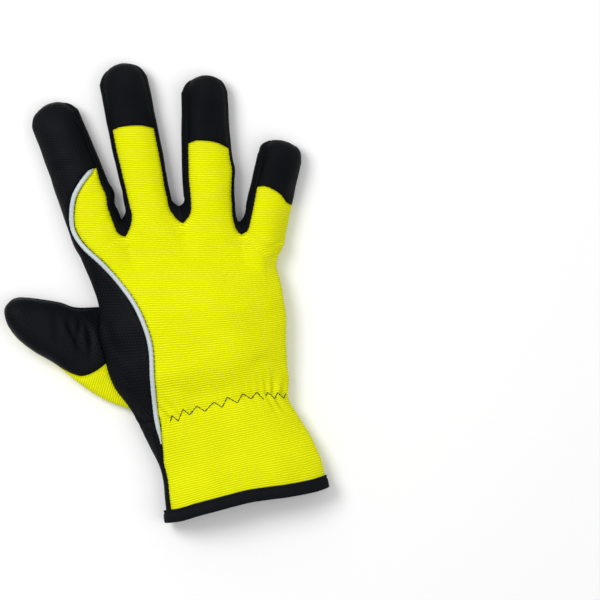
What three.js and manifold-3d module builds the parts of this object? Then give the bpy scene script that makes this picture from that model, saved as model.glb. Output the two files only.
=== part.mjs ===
// A right-hand thermal work glove lying palm down, in millimetres, +Z up, fingers along +Y.
// The glove is one closed bag surface, worked out by functions from the sizes below. Each cloth
// panel is a patch of that surface between seams, as thick as the cloth, with an open hand inside.
import * as THREE from "three";
import Module from "manifold-3d";
import { mergeVertices } from "three/addons/utils/BufferGeometryUtils.js";

// Driving dimensions
const PALM_LENGTH = 161.5;
const HAND_WIDTH = 107;
const WRIST_WIDTH = 85.5;
const CUFF_WIDTH = 94;
const CUFF_HEIGHT = 24;
const WRIST_HEIGHT = 22;
const PALM_HEIGHT = 27;
const KNUCKLE_HEIGHT = 24;
const FINGER_HEIGHT = 19;
const INDEX_LENGTH = 88.5;
const MIDDLE_LENGTH = 98;
const RING_LENGTH = 87;
const LITTLE_LENGTH = 60;
const INDEX_WIDTH = 31;
const MIDDLE_WIDTH = 28.2;
const RING_WIDTH = 28;
const LITTLE_WIDTH = 26;
const THUMB_LENGTH = 82;
const THUMB_WIDTH = 32;
const THUMB_HEIGHT = 19;
const THUMB_ANGLE = 148;
const CLOTH = 2.2;
const THUMB_CLOTH = 2;
const SEAM_GAP = 0.3;
const WEB_DEPTH = 13;
const PIPING_DIAMETER = 2.6;
const BINDING_DEPTH = 7.5;
const BINDING_CLOTH = 1.2;
const PUCKER_DEPTH = 0.8;

// Sections of the hand from hem to fingers. up: share of PALM_LENGTH. wide, tall: the named size
// that the row follows. left, right: silhouettes, shares of wide. shoulder: how far the rounded
// radial side reaches onto the back, share of wide. wrap: how far the yellow cloth turns under.
const HAND_SECTIONS = [
  { up: 0.0, wide: CUFF_WIDTH, left: -0.49, right: 0.497, tall: CUFF_HEIGHT, shoulder: 0.012, wrap: 0.09 },
  { up: 0.09, wide: CUFF_WIDTH, left: -0.468, right: 0.5, tall: CUFF_HEIGHT, shoulder: 0.012, wrap: 0.1 },
  { up: 0.18, wide: WRIST_WIDTH, left: -0.503, right: 0.516, tall: WRIST_HEIGHT, shoulder: 0.014, wrap: 0.11 },
  { up: 0.26, wide: WRIST_WIDTH, left: -0.54, right: 0.465, tall: WRIST_HEIGHT, shoulder: 0.03, wrap: 0.11 },
  { up: 0.32, wide: WRIST_WIDTH, left: -0.567, right: 0.434, tall: WRIST_HEIGHT, shoulder: 0.06, wrap: 0.11 },
  { up: 0.4, wide: WRIST_WIDTH, left: -0.608, right: 0.467, tall: WRIST_HEIGHT, shoulder: 0.07, wrap: 0.095 },
  { up: 0.5, wide: HAND_WIDTH, left: -0.547, right: 0.393, tall: PALM_HEIGHT, shoulder: 0.07, wrap: 0.06 },
  { up: 0.6, wide: HAND_WIDTH, left: -0.563, right: 0.425, tall: PALM_HEIGHT, shoulder: 0.07, wrap: 0.055 },
  { up: 0.7, wide: HAND_WIDTH, left: -0.561, right: 0.44, tall: PALM_HEIGHT, shoulder: 0.06, wrap: 0.045 },
  { up: 0.78, wide: HAND_WIDTH, left: -0.532, right: 0.444, tall: KNUCKLE_HEIGHT, shoulder: 0.045, wrap: 0.045 },
  { up: 0.86, wide: HAND_WIDTH, left: -0.539, right: 0.49, tall: KNUCKLE_HEIGHT, shoulder: 0.03, wrap: 0.045 },
  { up: 1.0, wide: HAND_WIDTH, left: -0.575, right: 0.51, tall: KNUCKLE_HEIGHT, shoulder: 0.012, wrap: 0.045 },
];

// Rails that run up the hand to the finger forks. hem: share of CUFF_WIDTH. across, up: where the
// rail ends, shares of HAND_WIDTH and PALM_LENGTH. The outer two follow the silhouettes.
// web: how deep the cloth between two fingers stands in their fork, a share of WEB_DEPTH.
const RAILS = [
  { name: "radial", hem: -0.49, across: -0.568, up: 0.96, web: 0 },
  { name: "index_middle", hem: -0.255, across: -0.306, up: 0.999, web: 1 },
  { name: "middle_ring", hem: 0.0, across: 0.004, up: 1.0, web: 1 },
  { name: "ring_little", hem: 0.255, across: 0.293, up: 0.919, web: 0.7 },
  { name: "ulnar", hem: 0.497, across: 0.482, up: 0.822, web: 0 },
];

// Fingers. tipX, tipY: end of the fingertip, shares of HAND_WIDTH and of the finger's own length
// past PALM_LENGTH. low, high: seam insets from the silhouettes, shares of the finger's width, and
// close: what is left of them at the tip. base, end: shares of wide. bow, crown: shares of the
// reach by which the finger curves sideways and its cap seam curves towards the tip.
// cap: where the yellow cloth ends. slant: how far the cloth's rows lean, in degrees.
const FINGERS = [
  { name: "index", long: INDEX_LENGTH, wide: INDEX_WIDTH, tipX: -0.543, tipY: 0.96, low: 0.05,
    high: 0.125, close: 0.45, cap: 0.52, slant: 0, base: 1.0, end: 0.93, bow: 0.007, crown: 0 },
  { name: "middle", long: MIDDLE_LENGTH, wide: MIDDLE_WIDTH, tipX: -0.131, tipY: 1.0, low: 0.065,
    high: 0.055, close: 1, cap: 0.625, slant: -9, base: 0.96, end: 1.0, bow: -0.002, crown: 0.023 },
  { name: "ring", long: RING_LENGTH, wide: RING_WIDTH, tipX: 0.291, tipY: 0.93, low: 0.12,
    high: 0.03, close: 1, cap: 0.558, slant: -10, base: 1.05, end: 0.96, bow: -0.01, crown: 0.034 },
  { name: "little", long: LITTLE_LENGTH, wide: LITTLE_WIDTH, tipX: 0.624, tipY: 0.575, low: 0.15,
    high: 0.1, close: 1, cap: 0.5, slant: -15, base: 1.0, end: 0.97, bow: 0.0, crown: 0.05 },
];

// Rows of a finger below and above its cap seam, as shares of each stretch.
const ROWS_BELOW_CAP = [0, 0.07, 0.18, 0.33, 0.5, 0.67, 0.84, 1];
const ROWS_ABOVE_CAP = [0.2, 0.4, 0.58, 0.74, 0.86, 0.95, 1];

// The piping, from the index finger to the wrist. up: share of PALM_LENGTH. across: share of
// HAND_WIDTH. Below the piping the same line is the plain seam down to the hem.
const SEAM_LINE = [
  { up: 0.0, across: -0.425 }, { up: 0.1, across: -0.405 }, { up: 0.2, across: -0.386 },
  { up: 0.27, across: -0.369 }, { up: 0.37, across: -0.362 }, { up: 0.5, across: -0.336 },
  { up: 0.6, across: -0.309 }, { up: 0.67, across: -0.31 }, { up: 0.76, across: -0.336 },
  { up: 0.85, across: -0.391 }, { up: 0.93, across: -0.458 }, { up: 1.0, across: -0.53 },
  { up: 1.045, across: -0.561 }, { up: 1.085, across: -0.57 }, { up: 1.14, across: -0.553 },
  { up: 1.185, across: -0.524 }, { up: 1.22, across: -0.48 }, { up: 1.25, across: -0.428 },
  { up: 1.268, across: -0.385 },
];
const PIPING_START = 0.27;

// Sections of the thumb from its root in the palm to its tip, in the thumb's own directions.
// upAlong, lowAlong: shares of THUMB_LENGTH. upOut, lowOut: shares of THUMB_WIDTH. tall: share of
// THUMB_HEIGHT. bow: how far the row bulges, share of THUMB_LENGTH. back, palm: where the
// yellow side cloth starts and ends round the section, in degrees from the fork side over the back.
const THUMB_SECTIONS = [
  { upAlong: 0.37, upOut: 0.6, lowAlong: -0.16, lowOut: -0.93, tall: 0.5, bow: -0.1, back: 80, palm: 207 },
  { upAlong: 0.44, upOut: 0.52, lowAlong: -0.005, lowOut: -0.955, tall: 0.58, bow: -0.05, back: 88, palm: 214 },
  { upAlong: 0.5, upOut: 0.46, lowAlong: 0.14, lowOut: -0.94, tall: 0.68, bow: -0.02, back: 106, palm: 220 },
  { upAlong: 0.56, upOut: 0.42, lowAlong: 0.28, lowOut: -0.86, tall: 0.78, bow: 0, back: 131, palm: 228 },
  { upAlong: 0.64, upOut: 0.425, lowAlong: 0.42, lowOut: -0.74, tall: 0.88, bow: 0, back: 159, palm: 236 },
  { upAlong: 0.74, upOut: 0.4, lowAlong: 0.56, lowOut: -0.61, tall: 0.97, bow: 0, back: 182, palm: 240 },
  { upAlong: 0.84, upOut: 0.35, lowAlong: 0.71, lowOut: -0.54, tall: 1.0, bow: 0.005, back: 192, palm: 240 },
  { upAlong: 0.92, upOut: 0.29, lowAlong: 0.83, lowOut: -0.45, tall: 0.99, bow: 0.012, back: 198, palm: 236 },
  { upAlong: 0.97, upOut: 0.2, lowAlong: 0.92, lowOut: -0.3, tall: 0.96, bow: 0.018, back: 200, palm: 230 },
  { upAlong: 0.99, upOut: 0.1, lowAlong: 0.97, lowOut: -0.14, tall: 0.92, bow: 0.016, back: 200, palm: 226 },
];
const THUMB_ROOT = { across: -0.374, up: 0.588 };
const THUMB_FORK_SEAM = 14;
const TIP_SLIT = 0.15;
const TIP_BULGE = 0.026;

// Inner seam of the leaf-shaped patch between palm and thumb, shares of HAND_WIDTH and PALM_LENGTH.
const SADDLE_SEAM = [
  { across: -0.514, up: 0.81 }, { across: -0.374, up: 0.81 }, { across: -0.29, up: 0.745 },
  { across: -0.252, up: 0.66 }, { across: -0.248, up: 0.54 }, { across: -0.275, up: 0.455 },
  { across: -0.36, up: 0.42 },
];

const SADDLE_STEPS = 18;

const HAND_ROWS = 14;
const BLACK_COLUMNS = 3;
const YELLOW_COLUMNS = 3;
const BACK_COLUMNS = 5;
const PALM_COLUMNS = 3;
const SIDE_STEPS = [0, 0.5, 1, 1.5, 2];
const THUMB_ROWS = 12;

// Forms of the sections. Shares of the height: the silhouette's level, the valleys between the
// fingers, and the rise of the palm cloth at the forks.
const MID_SHARE = 0.45;
const VALLEY_SHARE = 0.62;
const FORK_LIFT = 0.1;
// Shares of the width: the reach of the plain sides, the turn under a finger, and the flat middle
// of each palm strip, whose edges curl up by the rounding.
const SIDE_REACH = 0.06;
const FINGER_WRAP = 0.14;
const FLAT_SHARE = 0.35;
const FLOOR_ROUNDING = 0.6;
const LEAST_SIDE = 0.1;
// The inner loops of the binding are eased towards their neighbours, this share, so many times.
const LOOP_EASE = 0.5;
const LOOP_ROUNDS = 3;
// Powers of the curves: the higher, the flatter the middle and the rounder the edge.
const SIDE_POWER = 0.4;
const BACK_POWER = 3.5;
const FINGER_POWER = 2.4;
const THUMB_POWER = 0.85;
const THUMB_UNDER_POWER = 0.45;
// Shares of the hand's length where its crown fades and the valleys start, and of the crown left.
const CROWN_END = 0.72;
const VALLEY_START = 0.78;
const ROOT_CROWN = 0.35;
// Fullness of a finger, shares of FINGER_HEIGHT. Shares of its length: where the tip rounds off,
// where it narrows, to what width and slope, and how far the web reaches.
const ROOT_FULLNESS = 1.04;
const TIP_FULLNESS = 0.97;
const TIP_START = 0.82;
const TIP_NARROWS = 0.9;
const TIP_WIDTH = 0.62;
const TIP_SLOPE = 0.85;
const WEB_SHARE = 0.35;
const CROWN_REACH = 0.38;
// The cloth's thickness at a tip or a web, as a multiple of the panel's.
const TIP_CLOTH = 1.2;
// Limits of the piping line across the index strip, and its place past the yellow cloth.
const LEAST_SHARE = 0.035;
const MOST_SHARE = 0.93;
const TIP_SHARE = 0.55;
const HEM_RISE = [0.05, 0.14];
const HOLLOW_END = 0.04;
const LINE_STEPS = 40;

const YELLOW = 0xe6ea14;
const BLACK = 0x14161b;
const SMOOTH_BLACK = 0x191b24;
const SILVER = 0xccd8dc;

const mix = (a, b, t) => a + (b - a) * t;
const clamp = (value, low, high) => Math.min(high, Math.max(low, value));

function smooth(low, high, value) {
  const t = clamp((value - low) / (high - low), 0, 1);
  return t * t * (3 - 2 * t);
}

// Catmull-Rom value of one column of a table at a place along another column.
function read(table, key, column, at) {
  const last = table.length - 1;
  let i = 0;
  while (i < last - 1 && at > table[i + 1][key]) i += 1;
  const value = (n) => column(table[clamp(n, 0, last)]);
  const place = (n) => table[clamp(n, 0, last)][key];
  const span = place(i + 1) - place(i);
  const t = clamp((at - place(i)) / span, 0, 1);
  const slope = (n) => {
    const run = place(n + 1) - place(n - 1);
    return run > 0 ? ((value(n + 1) - value(n - 1)) / run) * span : 0;
  };
  const h = t * t * (3 - 2 * t);
  const bend = t * (1 - t);
  return mix(value(i), value(i + 1), h) + bend * ((1 - t) * slope(i) - t * slope(i + 1));
}

const handColumn = (column, y) => read(HAND_SECTIONS, "up", column, y / PALM_LENGTH);
const seamAcross = (y) => HAND_WIDTH * read(SEAM_LINE, "up", (row) => row.across, y / PALM_LENGTH);

// Place of rail k at hand row h, on the silhouette for the outer two.
function railPlace(k, h) {
  const rail = RAILS[k];
  const y = PALM_LENGTH * (h + (rail.up - 1) * h ** 3);
  if (k === 0) return new THREE.Vector2(handColumn((row) => row.left * row.wide, y), y);
  if (k === RAILS.length - 1) return new THREE.Vector2(handColumn((row) => row.right * row.wide, y), y);
  return new THREE.Vector2(mix(rail.hem * CUFF_WIDTH, rail.across * HAND_WIDTH, h), y);
}

// The gathers of the elastic at the wrist, a shallow wave across the back.
const GATHER_LINE = 0.36;
const GATHER_SPREAD = 0.055;
const GATHER_PITCH = 17;
const GATHER_WAVE = 0.4;

function gather(x, y) {
  const away = (y / PALM_LENGTH - GATHER_LINE) / GATHER_SPREAD;
  const wave = mix(1, Math.cos((2 * Math.PI * x) / GATHER_PITCH), GATHER_WAVE);
  return -PUCKER_DEPTH * wave * Math.exp(-away * away);
}

// The flutes of the flaring cuff below the elastic.
const FLUTE_DEPTH = 0.5;
const FLUTE_PITCH = 21;
const FLUTE_END = 0.32;

function flute(x, y) {
  const wave = Math.sin((2 * Math.PI * x) / FLUTE_PITCH + 1);
  return FLUTE_DEPTH * wave * (1 - smooth(0, FLUTE_END, y / PALM_LENGTH));
}

// Heights of the hand at a place: the back without valleys, and the middle of the side.
function handHeight(y, depth) {
  return handColumn((row) => row.tall, y) - depth;
}

function sideHeight(y) {
  return MID_SHARE * handColumn((row) => row.tall, y);
}

// The palm cloth rises to the hem, whose binding lies under it on the surface.
function hemLift(y) {
  return (SEAM_GAP + BINDING_CLOTH) * (1 - smooth(...HEM_RISE, y / PALM_LENGTH));
}

function shoulderHeight(inset, half, middle, top) {
  return middle + (top - middle) * clamp(inset / half, 0.0001, 1) ** SIDE_POWER;
}

// Points where the sides start: T on the back, M on the silhouette, B on the palm side.
function outerSide(k, h, depth) {
  const edge = railPlace(k, h);
  const inward = k === 0 ? 1 : -1;
  const wide = handColumn((row) => row.wide, edge.y);
  const shoulder = k === 0 ? handColumn((row) => row.shoulder, edge.y) * wide : SIDE_REACH * wide;
  const wrap = k === 0 ? SIDE_REACH * wide : handColumn((row) => row.wrap, edge.y) * wide;
  const middle = sideHeight(edge.y);
  const top = handHeight(edge.y, depth);
  const x = edge.x + inward * depth;
  const shoulderZ = shoulderHeight(shoulder, wide / 2, middle, top);
  return {
    T: new THREE.Vector3(x + inward * shoulder, edge.y, shoulderZ),
    M: new THREE.Vector3(x, edge.y, middle),
    B: new THREE.Vector3(x + inward * wrap, edge.y, FLOOR_ROUNDING + hemLift(edge.y) + depth),
  };
}

// Height of the hand's back or palm at a place between the outer shoulders.
function backHeight(x, y, h, left, right, depth) {
  const across = clamp(((x - left.x) / (right.x - left.x)) * 2 - 1, -1, 1);
  const chord = mix(left.z, right.z, (across + 1) / 2);
  const crown = chord + (handHeight(y, depth) - chord) * (1 - Math.abs(across) ** BACK_POWER);
  const root = mix(chord, crown, ROOT_CROWN);
  const waves = (gather(x, y) + flute(x, y)) * (1 - across ** 4);
  return mix(crown, root, smooth(CROWN_END, 1, h)) + waves;
}

function valleyHeight(depth) {
  return VALLEY_SHARE * KNUCKLE_HEIGHT - depth;
}

// Rail k on the back, or under the palm.
function backRail(k, h, depth) {
  if (k === 0 || k === RAILS.length - 1) return outerSide(k, h, depth).T;
  const place = railPlace(k, h);
  const left = outerSide(0, h, depth).T;
  const right = outerSide(RAILS.length - 1, h, depth).T;
  const open = backHeight(place.x, place.y, h, left, right, depth);
  return new THREE.Vector3(place.x, place.y, mix(open, valleyHeight(depth), smooth(VALLEY_START, 1, h)));
}

function palmRail(k, h, depth) {
  if (k === 0 || k === RAILS.length - 1) return outerSide(k, h, depth).B;
  const place = railPlace(k, h);
  const lift = FORK_LIFT * KNUCKLE_HEIGHT * smooth(0.85, 1, h);
  return new THREE.Vector3(place.x, place.y, depth + lift + hemLift(place.y));
}

// The path of a side from the back seam over the silhouette to the palm seam, step 0 to 2.
function sidePath(side, step) {
  if (step <= 1) {
    const out = Math.sin((Math.PI * step) / 2);
    return new THREE.Vector3(
      mix(side.T.x, side.M.x, out), mix(side.T.y, side.M.y, out), mix(side.T.z, side.M.z, step));
  }
  const turn = (Math.PI * (step - 1)) / 2;
  return new THREE.Vector3(
    mix(side.B.x, side.M.x, Math.cos(turn)),
    mix(side.B.y, side.M.y, Math.cos(turn)),
    mix(side.M.z, side.B.z, Math.sin(turn)));
}

// Share of the index strip where the seam line crosses a row of points.
function seamShare(rowPoint) {
  let low = 0;
  let high = 1;
  for (let i = 0; i < 24; i += 1) {
    const middle = (low + high) / 2;
    const point = rowPoint(middle);
    if (point.x < seamAcross(point.y)) low = middle;
    else high = middle;
  }
  return clamp((low + high) / 2, LEAST_SHARE, MOST_SHARE);
}

// Column shares of a back strip: the index strip has the seam line at one of its columns.
function columnShare(f, j, seam) {
  if (f > 0) return j / BACK_COLUMNS;
  if (j <= BLACK_COLUMNS) return (seam * j) / BLACK_COLUMNS;
  return mix(seam, 1, (j - BLACK_COLUMNS) / YELLOW_COLUMNS);
}

const backColumns = (f) => (f > 0 ? BACK_COLUMNS : BLACK_COLUMNS + YELLOW_COLUMNS);

// A point of the hand's back on strip f at share q of its width.
function handBack(f, q, h, depth) {
  const a = backRail(f, h, depth);
  const b = backRail(f + 1, h, depth);
  const left = outerSide(0, h, depth).T;
  const right = outerSide(RAILS.length - 1, h, depth).T;
  const x = mix(a.x, b.x, q);
  const y = mix(a.y, b.y, q);
  const open = backHeight(x, y, h, left, right, depth);
  const top = FINGER_HEIGHT * ROOT_FULLNESS - depth;
  const chord = mix(a.z, b.z, q);
  const arched = chord + (top - (a.z + b.z) / 2) * (1 - Math.abs(2 * q - 1) ** FINGER_POWER);
  return new THREE.Vector3(x, y, mix(open, arched, smooth(VALLEY_START, 1, h)));
}

// How far a palm strip has left the surface at share q: nothing over its flat middle.
function palmRim(q) {
  return clamp((Math.abs(2 * q - 1) - FLAT_SHARE) / (1 - FLAT_SHARE), 0, 1) ** 4;
}

function handPalm(f, q, h, depth) {
  const a = palmRail(f, h, depth);
  const b = palmRail(f + 1, h, depth);
  const y = mix(a.y, b.y, q);
  const floor = depth + hemLift(y);
  const edge = mix(a.z, b.z, q) - floor;
  return new THREE.Vector3(mix(a.x, b.x, q), y, floor + edge * palmRim(q));
}

// Share of a finger's length at one of its rows.
function fingerShare(f, i) {
  const cap = FINGERS[f].cap;
  const below = ROWS_BELOW_CAP.length - 1;
  return i <= below ? cap * ROWS_BELOW_CAP[i] : mix(cap, 1, ROWS_ABOVE_CAP[i - below - 1]);
}

const FINGER_ROWS = ROWS_BELOW_CAP.length - 1 + ROWS_ABOVE_CAP.length;
const CAP_ROW = ROWS_BELOW_CAP.length - 1;

// How full a finger's section is near its tip, 1 away from it.
function tipRounding(t, start, least) {
  const u = clamp((t - start) / (1 - start), 0, 1);
  return mix(least, 1, Math.sqrt(Math.max(0, 1 - u * u)));
}

// How wide a finger still is near its tip, which ends at the slope of its bulging cap.
function tipNarrowing(t) {
  const u = TIP_SLOPE * clamp((t - TIP_NARROWS) / (1 - TIP_NARROWS), 0, 1);
  const last = Math.sqrt(1 - TIP_SLOPE ** 2);
  return mix(TIP_WIDTH, 1, (Math.sqrt(1 - u * u) - last) / (1 - last));
}

// The middle of a finger's root, and the way from there to its tip.
function fingerAxis(f) {
  const finger = FINGERS[f];
  const root = railPlace(f, 1).add(railPlace(f + 1, 1)).multiplyScalar(0.5);
  const tip = new THREE.Vector2(
    finger.tipX * HAND_WIDTH, PALM_LENGTH + finger.long * finger.tipY);
  return { root, way: tip.sub(root) };
}

// The frame of a finger at a share of its length, at a depth inside the cloth.
function fingerFrame(f, t, depth) {
  const finger = FINGERS[f];
  const a = railPlace(f, 1);
  const b = railPlace(f + 1, 1);
  const { root, way } = fingerAxis(f);
  const reach = way.length();
  const along = way.normalize();
  const square = new THREE.Vector2(along.y, -along.x);
  const slant = (finger.slant * Math.PI) / 180 * smooth(0, 0.3, t) * (1 - smooth(0.75, 1, t));
  const turned = square.clone().rotateAround(new THREE.Vector2(), slant);
  const rootLine = b.clone().sub(a).normalize();
  const across = rootLine.lerp(turned, smooth(0, 0.3, t)).normalize();
  const far = t * reach * (1 - TIP_BULGE) - TIP_CLOTH * depth * smooth(0.6, 1, t);
  const bend = finger.bow * reach * Math.sin(Math.PI * t);
  const centre = root.clone().addScaledVector(along, far).addScaledVector(square, bend);
  const rootHalf = a.distanceTo(b) / 2;
  const wide = finger.wide * mix(finger.base, finger.end, smooth(0.25, 0.85, t));
  const full = mix(rootHalf, wide / 2 / Math.cos(slant), smooth(0, 0.12, t));
  const half = full * tipNarrowing(t);
  return { finger, centre, along, across, half, reach };
}

// The T, M and B points of one side of a finger: -1 is its radial side, 1 its ulnar side.
function fingerSide(f, side, t, depth) {
  const frame = fingerFrame(f, t, depth);
  const outer = (f === 0 && side < 0) || (f === FINGERS.length - 1 && side > 0);
  const k = side < 0 ? f : f + 1;
  const root = outer
    ? outerSide(k, 1, depth)
    : { T: backRail(k, 1, depth), M: { z: fingerMiddle(0) }, B: palmRail(k, 1, depth) };
  const ramp = smooth(0, 0.08, t);
  const shrink = outer ? depth : depth * ramp;
  const fade = tipRounding(t, 0.85, 0.2);
  const seamShareOfWidth = side < 0 ? frame.finger.low : frame.finger.high;
  const closing = mix(1, frame.finger.close, smooth(0.3, 1, t));
  const inset = seamShareOfWidth * frame.finger.wide * fade * closing;
  const wrap = FINGER_WRAP * frame.finger.wide * fade;
  const middle = fingerMiddle(t) + (root.M.z - fingerMiddle(0)) * (1 - ramp);
  const tall = mix(ROOT_FULLNESS, TIP_FULLNESS, t) * FINGER_HEIGHT - depth;
  const top = middle + (tall - middle) * tipRounding(t, TIP_START, 0);
  const edge = frame.centre.clone().addScaledVector(frame.across, side * (frame.half - shrink));
  const backPlace = edge.clone().addScaledVector(frame.across, -side * inset * ramp);
  const palmPlace = edge.clone().addScaledVector(frame.across, -side * wrap * ramp);
  const deep = RAILS[k].web * WEB_DEPTH - TIP_CLOTH * depth;
  const web = outer ? 0 : deep * clamp(1 - t / WEB_SHARE, 0, 1) ** 2;
  edge.addScaledVector(new THREE.Vector2(0, 1).lerp(frame.along, smooth(0, 0.3, t)), web);
  const palmLift = FLOOR_ROUNDING + (middle - FLOOR_ROUNDING) * (1 - tipRounding(t, TIP_START, 0));
  const T = new THREE.Vector3(
    backPlace.x, backPlace.y, mix(root.T.z, shoulderHeight(inset, frame.half, middle, top), ramp));
  const palmZ = Math.min(mix(root.B.z, palmLift + depth, ramp), middle - LEAST_SIDE);
  const B = new THREE.Vector3(palmPlace.x, palmPlace.y, palmZ);
  if (outer) {
    T.x = mix(root.T.x, T.x, ramp);
    T.y = mix(root.T.y, T.y, ramp);
    B.x = mix(root.B.x, B.x, ramp);
    B.y = mix(root.B.y, B.y, ramp);
  }
  return { T, M: new THREE.Vector3(edge.x, edge.y, middle), B, top };
}

function fingerMiddle(t) {
  return mix(MID_SHARE * KNUCKLE_HEIGHT, MID_SHARE * FINGER_HEIGHT, smooth(0, 0.2, t));
}

// Rows near a cap seam curve towards the tip in the middle of the finger.
function crowned(f, u, t) {
  const { cap, crown } = FINGERS[f];
  const window = smooth(cap - CROWN_REACH, cap, t) * (1 - smooth(cap, cap + CROWN_REACH, t));
  return t + crown * (1 - Math.abs(u) ** 3) * window;
}

// Points of a finger's back and palm strips at share q from its radial to its ulnar side.
function fingerBack(f, q, at, depth) {
  const t = crowned(f, 2 * q - 1, at);
  const a = fingerSide(f, -1, t, depth);
  const b = fingerSide(f, 1, t, depth);
  const frame = fingerFrame(f, t, depth);
  const point = a.T.clone().lerp(b.T, q);
  const u = 2 * q - 1;
  const rise = a.top - (a.T.z + b.T.z) / 2;
  const bulge = TIP_BULGE * frame.reach * smooth(0.8, 1, t) * (1 - u * u);
  point.z += Math.max(rise, 0) * (1 - Math.abs(u) ** FINGER_POWER);
  point.x += frame.along.x * bulge;
  point.y += frame.along.y * bulge;
  return point;
}

function fingerPalm(f, q, t, depth) {
  const a = fingerSide(f, -1, t, depth);
  const b = fingerSide(f, 1, t, depth);
  const frame = fingerFrame(f, t, depth);
  const point = a.B.clone().lerp(b.B, q);
  const u = 2 * q - 1;
  const floor = (fingerMiddle(t) - depth) * (1 - tipRounding(t, TIP_START, 0)) + depth;
  const bulge = TIP_BULGE * frame.reach * smooth(0.8, 1, t) * (1 - u * u);
  point.z = mix(Math.min(floor, point.z), point.z, palmRim(q));
  point.x += frame.along.x * bulge;
  point.y += frame.along.y * bulge;
  return point;
}

// Rows of the index finger past the end of the yellow cloth let the black columns spread again.
function indexSeam(row) {
  const t = fingerShare(0, row);
  const share = seamShare((q) => fingerBack(0, q, t, 0));
  if (row <= CAP_ROW) return share;
  return mix(MOST_SHARE, TIP_SHARE, clamp((row - CAP_ROW) / 4, 0, 1));
}

// One mesh of the whole bag: vertices at two depths, and faces tagged with their place.
const bag = { outer: [], inner: [], index: new Map(), faces: [] };

function addVertex(point) {
  const outer = point(0);
  const key = [outer.x, outer.y, outer.z].map((value) => Math.round(value * 1000)).join(",");
  if (!bag.index.has(key)) {
    bag.index.set(key, bag.outer.length);
    bag.outer.push(outer);
    bag.inner.push(point(CLOTH));
  }
  return bag.index.get(key);
}

// Adds a grid of faces; point(i, j) gives the function of depth, tag(i, j) the panel's name.
function addGrid(rows, columns, point, tag, flip) {
  const grid = [];
  for (let i = 0; i <= rows; i += 1) {
    grid.push([]);
    for (let j = 0; j <= columns; j += 1) grid[i].push(addVertex(point(i, j)));
  }
  for (let i = 0; i < rows; i += 1) {
    for (let j = 0; j < columns; j += 1) {
      const quad = [grid[i][j], grid[i][j + 1], grid[i + 1][j + 1], grid[i + 1][j]];
      bag.faces.push({ quad: flip ? quad.reverse() : quad, tag: tag(i, j) });
    }
  }
}

const FOURCHETTES = ["fourchette_index_middle", "fourchette_middle_ring", "fourchette_ring_little"];
const CAPS = ["palm_panel", "middle_cap", "ring_cap", "little_cap"];
const LAST = FINGERS.length - 1;

function buildHand() {
  const share = (i) => i / HAND_ROWS;
  for (let f = 0; f <= LAST; f += 1) {
    const columns = backColumns(f);
    const seams = [];
    for (let i = 0; i <= HAND_ROWS; i += 1) {
      seams.push(f > 0 ? 0 : seamShare((q) => handBack(0, q, share(i), 0)));
    }
    addGrid(HAND_ROWS, columns,
      (i, j) => (depth) => handBack(f, columnShare(f, j, seams[i]), share(i), depth),
      (i, j) => (f === 0 && j < BLACK_COLUMNS ? "palm_panel" : "back_panel"));
    addGrid(HAND_ROWS, PALM_COLUMNS,
      (i, j) => (depth) => handPalm(f, j / PALM_COLUMNS, share(i), depth),
      () => "palm_panel", true);
  }
  addGrid(HAND_ROWS, SIDE_STEPS.length - 1,
    (i, j) => (depth) => sidePath(outerSide(0, share(i), depth), SIDE_STEPS[j]),
    () => "palm_panel", true);
  addGrid(HAND_ROWS, SIDE_STEPS.length - 1,
    (i, j) => (depth) => sidePath(outerSide(LAST + 1, share(i), depth), SIDE_STEPS[j]),
    () => "back_panel");
}

// The panel that a face of a finger's back belongs to.
function backTag(f, i, j) {
  if (f === 0) return i < CAP_ROW && j >= BLACK_COLUMNS ? "back_panel" : "palm_panel";
  return i < CAP_ROW ? "back_panel" : CAPS[f];
}

// The panel of a face on a finger's side; at the very tip the back and the palm meet directly.
function sideTag(f, side, i, j) {
  const upper = j < SIDE_STEPS.length / 2 - 0.5;
  if (f === 0 && side < 0) return "palm_panel";
  if (f === LAST && side > 0) return i < CAP_ROW ? "back_panel" : CAPS[f];
  if (i < FINGER_ROWS - 1) return FOURCHETTES[side < 0 ? f - 1 : f];
  return upper ? CAPS[f] : "palm_panel";
}

function buildFinger(f) {
  const columns = backColumns(f);
  const share = (i) => fingerShare(f, i);
  const seam = (i) => (f === 0 ? indexSeam(i) : 0);
  addGrid(FINGER_ROWS, columns,
    (i, j) => (depth) => fingerBack(f, columnShare(f, j, seam(i)), share(i), depth),
    (i, j) => backTag(f, i, j));
  addGrid(FINGER_ROWS, PALM_COLUMNS,
    (i, j) => (depth) => fingerPalm(f, j / PALM_COLUMNS, share(i), depth),
    () => "palm_panel", true);
  [-1, 1].forEach((side) => {
    addGrid(FINGER_ROWS, SIDE_STEPS.length - 1,
      (i, j) => (depth) => sidePath(fingerSide(f, side, share(i), depth), SIDE_STEPS[j]),
      (i, j) => sideTag(f, side, i, j), side < 0);
  });
}

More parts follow.
